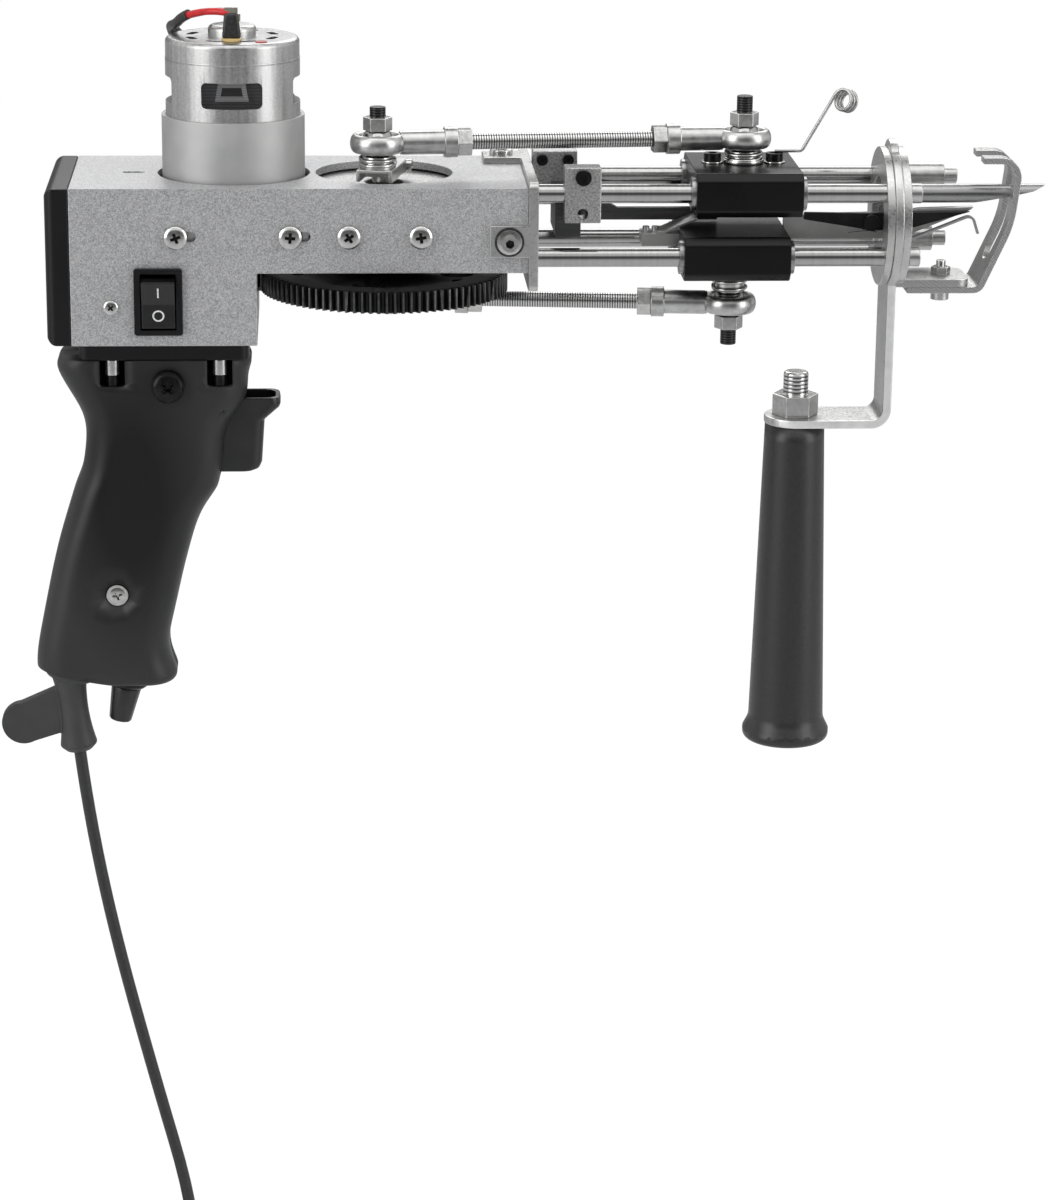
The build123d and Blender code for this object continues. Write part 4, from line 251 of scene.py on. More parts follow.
def coil_points():
    """Control points of the coil's turns, which spiral in and out and climb between layers."""
    points = []
    shrink = cos(pi / points_in_half_turn / 2) ** 2
    radius, depth, angle, inward = coil_radius, 0.0, 0.0, -1
    for layer, half_turns in enumerate(coil_layer_half_turns):
        steps = [(inward, 0)] * half_turns
        if layer + 1 < len(coil_layer_half_turns):
            steps.append((0, 1))
        for grow, climb in steps:
            for step in range(points_in_half_turn):
                points.append((coil_middle[0] + radius / shrink * cos(angle), depth,
                               coil_middle[1] - radius / shrink * sin(angle)))
                angle += pi / points_in_half_turn
                radius += grow * coil_pitch / 2 / points_in_half_turn
                depth += climb * coil_layer / points_in_half_turn
        inward = -inward
    points.append((coil_middle[0] + radius * cos(angle), depth, coil_middle[1]))
    return points


def drawn_line(name, spots, thickness, round_steps, run_steps):
    """A round line through control points, all in metres."""
    line = bpy.data.curves.new(name, "CURVE")
    line.dimensions, line.use_fill_caps = "3D", True
    line.bevel_depth, line.bevel_resolution = thickness / 2, round_steps
    spline = line.splines.new("NURBS")
    spline.points.add(len(spots) - 1)
    for point, spot in zip(spline.points, spots):
        point.co = (*spot, 1)
    spline.order_u, spline.use_endpoint_u, spline.resolution_u = 3, True, run_steps
    return in_scene(name, line)


# Flexible PVC, extruded: dull, evenly smooth, with a faint drawn grain along it.
cord_pvc = speckled("extruded_pvc", 0.42, 0.0, (900.0, 3.0), ("222223", "2C2C2D"),
                    dull=(0.36, 0.5), relief=(0.15, 0.1))

turns = coil_points()
tail = (turns[-1][0], turns[-1][1], turns[-1][2] - plug_lead)
cord = drawn_line("cord", cord_points + turns + [tail], cord_thickness, 6, 6)
cord.data.materials.append(cord_pvc)
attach(cord, "frame")
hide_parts("cord_run", "cord_coil")

# Cord boot with its flat tab, moulded in soft rubber. The tab is a strap with a raised rim.
# Its edges are soft, because rubber fills a mould's corners with a small radius.


def pick(piece):
    """Selects one piece alone, for the operators that follow."""
    bpy.ops.object.select_all(action="DESELECT")
    piece.select_set(True)
    bpy.context.view_layer.objects.active = piece


def work(piece, kind, **settings):
    """Adds a modifier with its settings to the picked piece and applies it."""
    bpy.ops.object.modifier_add(type=kind)
    made = piece.modifiers[-1]
    for name, value in settings.items():
        setattr(made, name, value)
    bpy.ops.object.modifier_apply(modifier=made.name)


def smooth(sharp):
    """Shades what is selected smooth, except over edges that bend by more degrees than this."""
    bpy.ops.object.shade_smooth_by_angle(angle=radians(sharp))


def coat(piece, material, inside=None):
    """Gives a piece a material, or only those of its faces whose middle passes a test."""
    piece.data.materials.append(material)
    index = len(piece.data.materials) - 1
    for face in piece.data.polygons:
        if inside is None or inside(face.center / MM, face.normal):
            face.material_index = index
    return piece


def dress(name, edge, material, sharp=32):
    """A CAD node's mesh again, its flat faces whole, its edges rounded by so many mm, its curves
    smooth, and in its material. It stands in for the node."""
    piece = in_scene(name + "_finished", cad[name].data.copy())
    piece.data.materials.clear()
    pick(piece)
    bpy.ops.object.mode_set(mode="EDIT")
    bpy.ops.mesh.select_all(action="SELECT")
    bpy.ops.mesh.remove_doubles(threshold=0.000002)
    if edge:
        bpy.ops.mesh.dissolve_limited(angle_limit=radians(0.5))
    bpy.ops.object.mode_set(mode="OBJECT")
    if edge:
        work(piece, "BEVEL", width=edge * MM, segments=2, use_clamp_overlap=False,
             limit_method="ANGLE", angle_limit=radians(sharp), miter_outer="MITER_ARC")
    smooth(sharp)
    if edge:
        work(piece, "WEIGHTED_NORMAL", keep_sharp=True)
    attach(piece, body_of_node[name])
    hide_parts(name)
    return coat(piece, material)


# Moulded rubber: matt, with the fine sparked grain of its mould and a little dust in it.
boot_rubber = speckled("moulded_rubber", 0.55, 0.0, (60.0, 2.0), ("343435", "3E3E3F"),
                       dull=(0.46, 0.62), relief=(0.3, 0.1), grain=(1100.0, 3.0))
dress("cord_boot", 0.5, boot_rubber)

# Strap round the coil, woven hook tape of black nylon, 7 mm wide.
hook_tape, tree, shader, place = new_surface("woven_nylon_tape", 0.8)
weave = add_node(tree, "ShaderNodeTexWave", {"Vector": place, "Scale": 420.0, "Distortion": 0.4},
                 bands_direction="Z")
lay_on(tree, shader, weave.outputs["Fac"], ("1B1B1C", "2E2E30"), reach=(0.2, 0.8),
       relief=(0.6, 0.2))
for name, material in (("dc_plug", boot_rubber), ("coil_tie", hook_tape)):
    cad[name].data.materials.clear()
    cad[name].data.materials.append(material)

# Housing, a box folded from 2.5 mm sheet steel and sprayed silver. The folds keep a small
# radius, and the round holes for motor and crank are punched through the top.
# Silver structure paint: a satin grey with metal flake in it, and a fine raised grit, drawn
# at 0.35 mm, that breaks up the light on the sides.
silver_paint, tree, shader, place = new_surface("silver_structure_paint", 0.42, 0.5)
grit = add_node(tree, "ShaderNodeTexVoronoi", {"Vector": place, "Scale": 2900.0})
lay_on(tree, shader, grit.outputs["Color"], ("9A9A9C", "B4B4B5", "CBCBCB"),
       reach=(0.15, 0.5, 0.85), dull=(0.36, 0.5), relief=(0.22, 0.1))
dress("housing", 0.35, silver_paint)

# Rear cap, grip block and the two shells of the pistol grip, moulded in glass-filled nylon and
# screwed together. The edges follow the mould, and the surface is a fine satin.
# Satin nylon: near black, with broad soft highlights and a sparked grain of 0.4 mm.
satin_nylon = speckled("satin_black_nylon", 0.36, 0.0, (35.0, 3.0), ("0B0B0C", "111113"),
                       dull=(0.30, 0.42), relief=(0.12, 0.06), grain=(2600.0, 2.0), specular=0.3)
dress("rear_cap", 0.6, satin_nylon)
dress("grip_block", 0.4, satin_nylon)

# The shells' sides are darker and glossier in a patch about 20 mm wide and 40 mm tall that
# fades out towards the edges, where they are lighter: a painted reflection on the curved shells.
grip_sheen_nylon, tree, shader, place = new_surface("grip_nylon_painted_sheen", 0.36)
shader.inputs["Specular IOR Level"].default_value = 0.35
sheen_patch = add_node(tree, "ShaderNodeMapping", {
    "Vector": place, "Location": (0.02, 0, -0.12), "Scale": (36.0, 0.0, 17.0)})
from_sheen_middle = add_node(tree, "ShaderNodeVectorMath", {0: sheen_patch.outputs[0]}, operation="LENGTH")
grain = add_node(tree, "ShaderNodeTexNoise", {"Vector": place, "Scale": 2600.0, "Detail": 2.0})
# Painted reflection: dark in the middle of the patch, lighter towards the shells' edges.
lay_on(tree, shader, from_sheen_middle.outputs["Value"], ("090909", "2D2D2E"), reach=(0.35, 1.0),
       dull=(0.28, 0.42), relief=(0.12, 0.06), grain=grain.outputs["Fac"])
for name in ("grip_shell_left", "grip_shell_right"):
    dress(name, 0, grip_sheen_nylon, 40)
for name in ("trigger_switch", "speed_control"):
    dress(name, 0.2, satin_nylon)

# Trigger, moulded in the same nylon with a lip that flares forward, and hollow from the top.
# It is polished by the finger, so it shines a little more than the grip.
worn_nylon = speckled("finger_worn_nylon", 0.3, 0.0, (140.0, 3.0), ("1A1A1B", "222223"),
                      dull=(0.24, 0.38))
dress("trigger", 0.45, worn_nylon, 28)

# Speed knob, moulded in the same nylon: a tapered grip with ten flats, pushed on the shaft.
knob_foot, knob_top, knob_tall, knob_round = 3.75, 5.05, 12.0, 0.7
joint_of = {joint["name"]: joint for joint in frame["record"]["behaviour"]["joints"]}


def shaped(add, **settings):
    """A primitive of its own, its size and place in its mesh."""
    bpy.ops.object.select_all(action="DESELECT")
    add(**settings)
    bpy.ops.object.transform_apply(location=True, rotation=True, scale=True)
    return bpy.context.object


def joined(name, pieces, body=None, node=None):
    """Joins pieces into one. It has a body, or stands in for a CAD node and has its."""
    pick(pieces[0])
    for piece in pieces:
        piece.select_set(True)
    if len(pieces) > 1:
        bpy.ops.object.join()
    whole = bpy.context.object
    whole.name = name
    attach(whole, body or body_of_node[node])
    if node:
        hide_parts(node)


knob_low, knob_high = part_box("speed_knob")
knob_up = -Vector(joint_of["speed_knob_turn"]["axis"])
knob = shaped(bpy.ops.mesh.primitive_cone_add, vertices=10, radius1=knob_foot * MM,
              radius2=knob_top * MM, depth=knob_tall * MM)
work(knob, "BEVEL", width=knob_round * MM, segments=3)
knob.data.transform(Matrix.Translation((knob_low + knob_high) / 2)
                    @ knob_up.to_track_quat("Z", "Y").to_matrix().to_4x4())
smooth(25)
joined("speed_knob_finished", [coat(knob, worn_nylon)], node="speed_knob")

# Front handle, a tapered grip of hard rubber round an M8 stud. It is turned smooth, and its
# edge where the light grazes it is a shade greyer.
hard_rubber, tree, shader, place = new_surface("turned_hard_rubber", 0.36)
rings = add_node(tree, "ShaderNodeTexNoise", {"Vector": place, "Scale": 900.0, "Detail": 3.0})
lay_on(tree, shader, rings.outputs["Fac"], ("232324", "29292A"), dull=(0.32, 0.4),
       relief=(0.12, 0.1))
shader.inputs["Sheen Weight"].default_value = 0.08
shader.inputs["Sheen Roughness"].default_value = 0.4
dress("front_handle", 0, hard_rubber, 60)

# Rocker switch, a bought-in piece clipped into the housing. The bezel is dull nylon, the rocker
# is polished and marked with a line and a ring for on and off, printed in white.
mark_size, mark_lift = 5.0, 0.12
rocker_low, rocker_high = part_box("switch_rocker")
switch_x = (rocker_low.x + rocker_high.x) / 2
gloss_nylon = speckled("polished_black_nylon", 0.2, 0.0, (300.0, 2.0), ("141415", "1B1B1C"),
                       dull=(0.16, 0.26))
dress("switch_body", 0.25, satin_nylon)
dress("switch_rocker", 0.35, gloss_nylon, 20)

mark_print = speckled("white_pad_print", 0.5, 0.0, (2500.0, 2.0), ("C6C6C6", "EFEFEF"))
for letter, across, height, lean in (("I", -33.16, 78.0, -20.4), ("O", -31.84, 70.5, 0.0)):
    bpy.ops.object.select_all(action="DESELECT")
    bpy.ops.object.text_add(location=(switch_x, across * MM, height * MM),
                            rotation=(radians(90 - lean), 0, 0))
    mark = bpy.context.object
    mark.data.body, mark.data.size = letter, mark_size * MM
    mark.data.align_x, mark.data.align_y = "CENTER", "CENTER"
    mark.data.extrude = mark_lift / 2 * MM
    bpy.ops.object.convert(target="MESH")
    mark = bpy.context.object
    bpy.ops.object.transform_apply(location=True, rotation=True, scale=True)
    joined("rocker_mark_" + letter, [coat(mark, mark_print)], "rocker")

# Motor, a drawn steel can with a wrapped flux ring round its lower half, both zinc plated. Four
# windows near the can's top show the armature, which is dark with varnish.
can_low, can_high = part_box("motor_can")
motor_x = (can_low.x + can_high.x) / 2 / MM
can_radius = (can_high.x - can_low.x) / 2 / MM
can_wall, window_low, window_high, window_slack = 1.0, 132.9, 140.9, 0.2
pole_width, pole_top_width, pole_height, pole_depth, pole_rim = 10.4, 8.4, 5.6, 2.0, 1.5
pole_sink, pole_inset, pole_raise, slot_reach = 0.5, 4.9, 0.9, 1.0

# Zinc plate on drawn steel: a satin grey metal, clouded by handling, with fine vertical marks
# of the drawing die, coarser than real so that they show.
drawn_zinc, tree, shader, place = new_surface("drawn_zinc_plate", 0.34, 1.0)
upright = add_node(tree, "ShaderNodeMapping", {"Vector": place, "Scale": (1.0, 1.0, 0.04)})
streak = add_node(tree, "ShaderNodeTexNoise", {"Vector": upright.outputs[0], "Scale": 700.0,
                                               "Detail": 3.0})
cloud = add_node(tree, "ShaderNodeTexNoise", {"Vector": place, "Scale": 1400.0, "Detail": 2.0})
both = add_node(tree, "ShaderNodeMath", {0: streak.outputs["Fac"], 1: cloud.outputs["Fac"]},
                operation="ADD")
half = add_node(tree, "ShaderNodeMath", {0: both.outputs[0], 1: 0.5}, operation="MULTIPLY")
lay_on(tree, shader, half.outputs[0], ("A9A9A9", "C3C3C2"), reach=(0.36, 0.64),
       dull=(0.26, 0.42, 0.3, 0.7), relief=(0.12, 0.1))

# Matt zinc of the flux ring: tumbled before plating, so it has no shine of its own.
matt_zinc = speckled("tumbled_zinc_plate", 0.56, 0.85, (120.0, 4.0), ("B2B2B2", "BEBEBD"),
                     dull=(0.5, 0.62))

# Varnished laminations: the dark inside of the windows. The same dark grey is laid in the cap's
# vents, as painted shade.
varnish_and_vent_shade, tree, shader, place = new_surface("varnished_laminations_and_vent_shade", 0.45, 0.3)
sheets = add_node(tree, "ShaderNodeTexWave", {"Vector": place, "Scale": 310.0},
                  bands_direction="Z")
lay_on(tree, shader, sheets.outputs["Fac"], ("4A4A4B", "5A5A5B"))


def in_window(middle, normal):
    """Whether a face of the can lies inside one of its windows, at the back or on a side."""
    out = hypot(middle.x - motor_x, middle.y)
    return (window_low - window_slack < middle.z < window_high + window_slack
            and out < can_radius - can_wall)


coat(dress("motor_can", 0.08, drawn_zinc, 28), varnish_and_vent_shade, in_window)
dress("flux_ring", 0.2, matt_zinc)

# Poles of the armature, stacked from sheet steel and turned clean, with the slot of the winding
# in the middle of each window in deep shade.
pole_metal, tree, shader, place = new_surface("armature_poles", 0.4, 0.7)
sheets = add_node(tree, "ShaderNodeTexWave", {"Vector": place, "Scale": 420.0},
                  bands_direction="Z")
lay_on(tree, shader, sheets.outputs["Fac"], ("6A6A6B", "7E7E7F"))
slot_dark = speckled("shaded_winding_slot", 0.6, 0.0, (700.0, 2.0), ("080808", "121212"))
poles = []
for turn in (0, 90, 180, 270):
    pole = shaped(bpy.ops.mesh.primitive_cube_add, size=1,
                  scale=(pole_depth * MM, pole_width * MM, pole_height * MM))
    for corner in pole.data.vertices:
        if corner.co.z > 0:
            corner.co.y *= pole_top_width / pole_width
    bpy.ops.object.mode_set(mode="EDIT")
    bpy.ops.mesh.select_all(action="SELECT")
    bpy.ops.mesh.inset(thickness=pole_rim * MM, depth=-pole_sink * MM, use_individual=True)
    bpy.ops.object.mode_set(mode="OBJECT")
    coat(coat(pole, pole_metal), slot_dark, lambda middle, normal: (
        normal.x > 0.95 and hypot(middle.y, middle.z) < slot_reach))
    out = can_radius - pole_inset + pole_depth / 2
    pole.location = ((motor_x + out * cos(radians(turn))) * MM, out * sin(radians(turn)) * MM,
                     ((window_low + window_high) / 2 + pole_raise) * MM)
    pole.rotation_euler = (0, 0, radians(turn))
    bpy.ops.object.transform_apply(location=True, rotation=True, scale=True)
    poles.append(pole)

joined("armature_poles", poles, "frame")

# End cap with its bearing cup and curved vents, stamped from zinc plated sheet and crimped to
# the can at four points. Two brass terminals stand up through it.
cap_top = can_high.z / MM + 6.1
vent_depth, vent_margin, terminal_inner = 0.3, 3.0, 11.0


def in_vent(middle, normal):
    """Whether a face lies inside one of the cap's vents."""
    return (middle.z < cap_top - vent_depth
            and hypot(middle.x - motor_x, middle.y) < can_radius - vent_margin)


def on_terminal(middle, normal):
    """Whether a face belongs to one of the two terminals."""
    return middle.z > cap_top + 0.01 and abs(middle.y) > terminal_inner


# Tinned brass: pale, with a warm tint where the tin is thin.
plated_brass = speckled("tinned_brass", 0.3, 1.0, (900.0, 2.0), ("B2AF9E", "CCC9BA"))
cap = dress("motor_end_bell", 0.06, drawn_zinc, 28)
# The faces down in the vents are coated dark grey, as painted shade inside the motor.
coat(cap, varnish_and_vent_shade, in_vent)
coat(cap, plated_brass, on_terminal)

# Motor leads, stranded copper in PVC, the near one red and the far one black. The near one is
# soldered to its terminal under a flat black heat-shrink sleeve. Both share a sleeve over the
# can's edge, and drop behind the can into two holes of the housing.
# Places are in mm from the motor's axis and the cap's top.
lead_thickness, far_lead_thickness, sleeve_thickness = 2.2, 1.9, 3.1
shrink_width, shrink_top_width, shrink_depth, shrink_tall = 5.9, 4.3, 2.6, 7.9
tip_width, tip_depth, tip_tall = 4.0, 0.8, 1.5
terminal_y, shrink_foot = 12.2, 0.8
red_pvc = speckled("red_pvc_insulation", 0.32, 0.0, (500.0, 2.0), ("BE1218", "D81A20"))
shrink_tube = speckled("heat_shrink_tube", 0.4, 0.0, (800.0, 3.0), ("1D1D1D", "323231"),
                       relief=(0.5, 0.3))


def bent_wire(spots, thickness):
    """A round wire through control points, as a mesh. All is given in mm."""
    pick(drawn_line("wire", [[value * MM for value in spot] for spot in spots],
                    thickness * MM, 4, 5))
    bpy.ops.object.convert(target="MESH")
    smooth(60)
    return bpy.context.object


near_run = ((0, -12.2, 5.0), (-0.4, -12.2, 8.5), (-4.0, -11.0, 9.0), (-9.0, -7.5, 8.4),
            (-14.4, -2.0, 6.4), (-16.0, 0.0, 5.4))
far_run = ((0, 12.2, 3.5), (-0.6, 11.8, 5.8), (-5.0, 8.0, 6.8), (-12.0, 2.5, 6.2),
           (-15.6, 1.0, 5.4))
sleeve_run = ((-13.4, -3.0, 7.0), (-15.6, 0.0, 5.6), (-17.4, 3.5, 3.2), (-19.0, 9.0, 2.0),
              (-19.6, 14.0, 0.8), (-17.6, 17.7, -5.0), (-17.3, 17.9, -50.8))
drop_run = ((-18.4, 9.0, 2.0), (-18.4, 15.0, 0.8), (-15.0, 20.4, -4.0), (-14.2, 20.9, -50.8))
wires = []
for run, thickness, material in ((near_run, lead_thickness, red_pvc),
                                 (far_run, far_lead_thickness, shrink_tube),
                                 (sleeve_run, sleeve_thickness, shrink_tube),
                                 (drop_run, far_lead_thickness, shrink_tube)):
    wires.append(coat(bent_wire([(motor_x + dx, y, cap_top + dz) for dx, y, dz in run],
                                thickness), material))
shrink = shaped(bpy.ops.mesh.primitive_cube_add, size=1)
for corner in shrink.data.vertices:
    broad, rise = (shrink_top_width, shrink_tall) if corner.co.z > 0 else (shrink_width, 0)
    corner.co.x = (motor_x + corner.co.x * broad) * MM
    corner.co.y = (corner.co.y * shrink_depth - terminal_y) * MM
    corner.co.z = (cap_top + shrink_foot + rise) * MM
work(shrink, "BEVEL", width=0.9 * MM, segments=4)
smooth(50)
wires.append(coat(shrink, shrink_tube))
tip = shaped(bpy.ops.mesh.primitive_cube_add, size=1, location=(
    motor_x * MM, -terminal_y * MM, (cap_top + shrink_foot + shrink_tall + tip_tall / 2) * MM),
    scale=(tip_width * MM, tip_depth * MM, (tip_tall + 0.2) * MM))
wires.append(coat(tip, plated_brass))
joined("motor_leads_finished", wires, node="motor_leads")

# A fibre ring insulates the near terminal, and a dot of red lacquer on the cap marks the plus
# side, dabbed on by hand.
fibre = speckled("vulcanised_fibre", 0.6, 0.0, (900.0, 3.0), ("C9A86A", "DEC48E"))
lacquer = speckled("red_lacquer_dot", 0.3, 0.0, (900.0, 2.0), ("9E2226", "B5363A"))
for name, spot, broad, tall, material in (
        ("terminal_fibre_ring", (motor_x, -terminal_y, cap_top + 0.45), 3.1, 0.9, fibre),
        ("plus_side_dot", (motor_x + 9.2, -14.6, cap_top + 0.1), 1.9, 0.4, lacquer)):
    dab = shaped(bpy.ops.mesh.primitive_cylinder_add, vertices=40, radius=broad * MM,
                 depth=tall * MM, location=[value * MM for value in spot])
    work(dab, "BEVEL", width=tall * 0.3 * MM, segments=3)
    smooth(40)
    joined(name, [coat(dab, material)], "frame")

# Pan head screws with a cross recess, zinc plated, in the housing's sides and on its tabs.
# One is turned and punched here, and the others are copies of it, each turned a little.
pan_radius, pan_rise = 3.75, 2.3
cross_length, cross_width, cross_depth, cross_taper = 4.6, 1.35, 1.3, 0.45
cross_reach, cross_foot, cross_rim = 2.4, 0.5, 0.15
side_y, side_screws, side_screws_z = 30.0, (15.69, 50.89, 69.0, 91.2), 95.0
bracket_tab, bracket_tab_y, bracket_tab_z = 118.5, 32.0, 93.7
tab_screw, small_screw = (bracket_tab, 21.0, 112.0), (-4.6, -side_y, 73.1)

# Bright zinc on a cold headed screw: nearly a mirror, a little clouded by handling.
bright_zinc = speckled("bright_zinc_plate", 0.2, 1.0, (700.0, 3.0), ("BABAB8", "D0D0CE"),
                       dull=(0.14, 0.3), relief=(0.05, 0.1))

pan_model = shaped(bpy.ops.mesh.primitive_circle_add, vertices=48, radius=pan_radius * MM,
                   fill_type="NGON")
bpy.ops.object.mode_set(mode="EDIT")
bpy.ops.mesh.select_all(action="SELECT")
radius = pan_radius
for rise, reach in ((1.0, 3.75), (0.6, 3.55), (0.4, 3.05), (0.2, 2.3), (0.1, 1.2)):
    bpy.ops.mesh.extrude_region_move(TRANSFORM_OT_translate={"value": (0, 0, rise * MM)})
    bpy.ops.transform.resize(value=(reach / radius, reach / radius, 1))
    radius = reach
bpy.ops.mesh.select_all(action="SELECT")
bpy.ops.mesh.normals_make_consistent(inside=False)
bpy.ops.object.mode_set(mode="OBJECT")


def cut_away(piece, punch):
    """Takes a punch's shape out of a piece, and leaves the piece picked."""
    pick(piece)
    work(piece, "BOOLEAN", operation="DIFFERENCE", object=punch)
    bpy.data.objects.remove(punch)


for turn in (0, 90):
    punch = shaped(bpy.ops.mesh.primitive_cube_add, size=1, location=(0, 0, pan_rise * MM),
                   rotation=(0, 0, radians(turn)),
                   scale=(cross_length * MM, cross_width * MM, 2 * cross_depth * MM))
    for corner in punch.data.vertices:
        if corner.co.z < pan_rise * MM:
            corner.co.x *= cross_taper
            corner.co.y *= cross_taper
    cut_away(pan_model, punch)
smooth(30)

# The punched cross is coated dark grey, as painted shade in the recess.
painted_shade_steel = speckled("painted_shade_steel", 0.5, 0.8, (900.0, 2.0), ("2B2B2B", "4A4A4A"))
coat(coat(pan_model, bright_zinc), painted_shade_steel, lambda middle, normal: (
    cross_foot < middle.z < pan_rise - cross_rim and hypot(middle.x, middle.y) < cross_reach))


def set_in_place(model, spot, way, turn=0, size=1.0, material=None):
    """A copy of a modelled fastener with its own mesh, its foot at a spot given in mm."""
    piece = in_scene("copy", model.data.copy())
    stand = Vector(way).to_track_quat("Z", "Y").to_matrix().to_4x4()
    piece.data.transform(Matrix.Translation(Vector(spot) * MM) @ stand
                         @ Matrix.Rotation(radians(turn), 4, "Z") @ Matrix.Scale(size, 4))
    if material:
        piece.data.materials.clear()
        coat(piece, material)
    return piece


# Socket head screws, with a knurled head and a hexagon socket. The model has a radius of 1 mm,
# and its copies are scaled. Black oxide: an oily black with a satin shine, as most of them have.
black_oxide = speckled("black_oxide_steel", 0.3, 0.75, (500.0, 3.0), ("161617", "262627"),
                       dull=(0.2, 0.4))

cap_tall, knurl_root, hex_radius, hex_depth, hex_reach, hex_rim = 1.1, 0.965, 0.56, 0.7, 0.6, 1.0
cap_model = shaped(bpy.ops.mesh.primitive_cylinder_add, vertices=72, radius=1.0 * MM,
                   depth=cap_tall * MM, location=(0, 0, cap_tall / 2 * MM))
for corner in cap_model.data.vertices:
    if corner.index // 2 % 2:
        corner.co.x *= knurl_root
        corner.co.y *= knurl_root
bpy.ops.object.mode_set(mode="EDIT")
bpy.ops.mesh.select_all(action="SELECT")
bpy.ops.mesh.normals_make_consistent(inside=False)
bpy.ops.object.mode_set(mode="OBJECT")
cut_away(cap_model, shaped(bpy.ops.mesh.primitive_cylinder_add, vertices=6,
                           radius=hex_radius * MM, depth=2 * hex_depth * MM,
                           location=(0, 0, cap_tall * MM)))
smooth(35)
# The hexagon socket is coated in the same dark grey, as painted shade in the socket.
coat(coat(cap_model, bright_zinc), painted_shade_steel, lambda middle, normal: (
    hypot(middle.x, middle.y) < hex_reach and middle.z < hex_rim))

heads = []
for x in side_screws:
    heads.append(set_in_place(pan_model, (x, -side_y, side_screws_z), (0, -1, 0), 7 * x))
    heads.append(set_in_place(pan_model, (x, side_y, side_screws_z), (0, 1, 0), 5 * x))
heads.append(set_in_place(pan_model, tab_screw, (0, 0, 1), 20))
heads.append(set_in_place(pan_model, small_screw, (0, -1, 0), 40, 0.63))

# The front bracket's socket screws have the same plating and a broad washer under the head, each
# on a wider dark ring that is a painted shadow on the tab.
washer_radius, washer_tall, washer_round = 5.0, 1.0, 0.25
washer_model = shaped(bpy.ops.mesh.primitive_cylinder_add, vertices=48, radius=washer_radius * MM,
                      depth=washer_tall * MM, location=(0, 0, washer_tall / 2 * MM))
work(washer_model, "BEVEL", width=washer_round * MM, segments=2)
smooth(40)
coat(washer_model, bright_zinc)
for way in (-1, 1):
    for model, lift, turn, size, material in ((washer_model, -0.35, 0, 0.92, painted_shade_steel),
                                              (washer_model, 0, 0, 0.78, None),
                                              (cap_model, 0.7, 10, 2.6, None)):
        spot = (bracket_tab, way * (bracket_tab_y + lift), bracket_tab_z)
        heads.append(set_in_place(model, spot, (0, way, 0), turn, size, material))
joined("housing_screw_heads", heads, "frame", "housing_screws")

# Front bracket, motor bracket, rod end disc, crank arm, foot ring and presser foot: pressed from
# sheet steel and zinc plated, so they keep a soft, slightly clouded shine and rounded edges.
pressed_zinc, tree, shader, place = new_surface("pressed_zinc_plate", 0.33, 1.0)
cloud = add_node(tree, "ShaderNodeTexNoise", {"Vector": place, "Scale": 90.0, "Detail": 4.0})
grain = add_node(tree, "ShaderNodeTexNoise", {"Vector": place, "Scale": 1300.0, "Detail": 2.0})
lay_on(tree, shader, cloud.outputs["Fac"], ("B9B9B8", "CBCBCA"), relief=(0.1, 0.1),
       grain=grain.outputs["Fac"])
dull = add_node(tree, "ShaderNodeMapRange", {"Value": grain.outputs["Fac"], "From Min": 0.3,
                "From Max": 0.7, "To Min": 0.25, "To Max": 0.42})
tree.links.new(dull.outputs["Result"], shader.inputs["Roughness"])
for name in ("front_bracket", "motor_bracket", "rod_end_disc", "crank_arm"):
    dress(name, 0.35, pressed_zinc)

# The handle's arm is a flat bar, sawn to width. Its tumbled edges are paler than its faces.
tumbled_edge = speckled("tumbled_zinc_edge", 0.45, 0.7, (240.0, 4.0), ("DCDCDB", "EEEEED"))
sideways, below_ring = 0.8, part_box("rod_end_disc")[0].z / MM - 1.0
coat(dress("handle_arm", 0.5, pressed_zinc), tumbled_edge,
     lambda middle, normal: abs(normal.y) > sideways and middle.z < below_ring)

# The presser foot and the tab under it are blanked out with a coarse tool, whose fine ticks
# stay in the edges, drawn here 0.5 mm apart. A wave of scale 1 has a band every 0.314 m.
wave_band, tick_gap = 0.314159, 0.5
sheared_zinc, tree, shader, place = new_surface("sheared_zinc_edge", 0.4, 1.0)
ticks = add_node(tree, "ShaderNodeTexWave", {"Vector": place, "Scale": wave_band / (tick_gap * MM),
                                             "Distortion": 6.0, "Detail": 3.0},
                 bands_direction="DIAGONAL")
lay_on(tree, shader, ticks.outputs["Fac"], ("A0A09F", "B2B2B1", "C0C0BF"), reach=(0.1, 0.5, 0.8),
       relief=(0.12, 0.2))
foot_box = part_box("presser_foot")
for name in ("presser_foot", "foot_ring"):
    coat(dress(name, 0.2, pressed_zinc, 28), sheared_zinc,
         lambda middle, normal: abs(normal.y) > sideways and middle.x > foot_box[0].x / MM - 2)

# Bearing block and stop blocks, sawn and milled from aluminium bar. The near stop block has an
# empty tapped hole under its clamp screw.
# Milled aluminium, tumbled: pale grey, with a fine sparkle of 0.7 mm grain.
tumbled_aluminium = speckled("tumbled_aluminium", 0.42, 0.9, (1500.0, 2.0), ("909090", "C8C8C7"),
                             reach=(0.34, 0.66), relief=(0.3, 0.1))
dress("bearing_block", 0.3, tumbled_aluminium)
dress("stop_blocks", 0.4, tumbled_aluminium)
dress("stop_block_screws", 0.15, black_oxide)

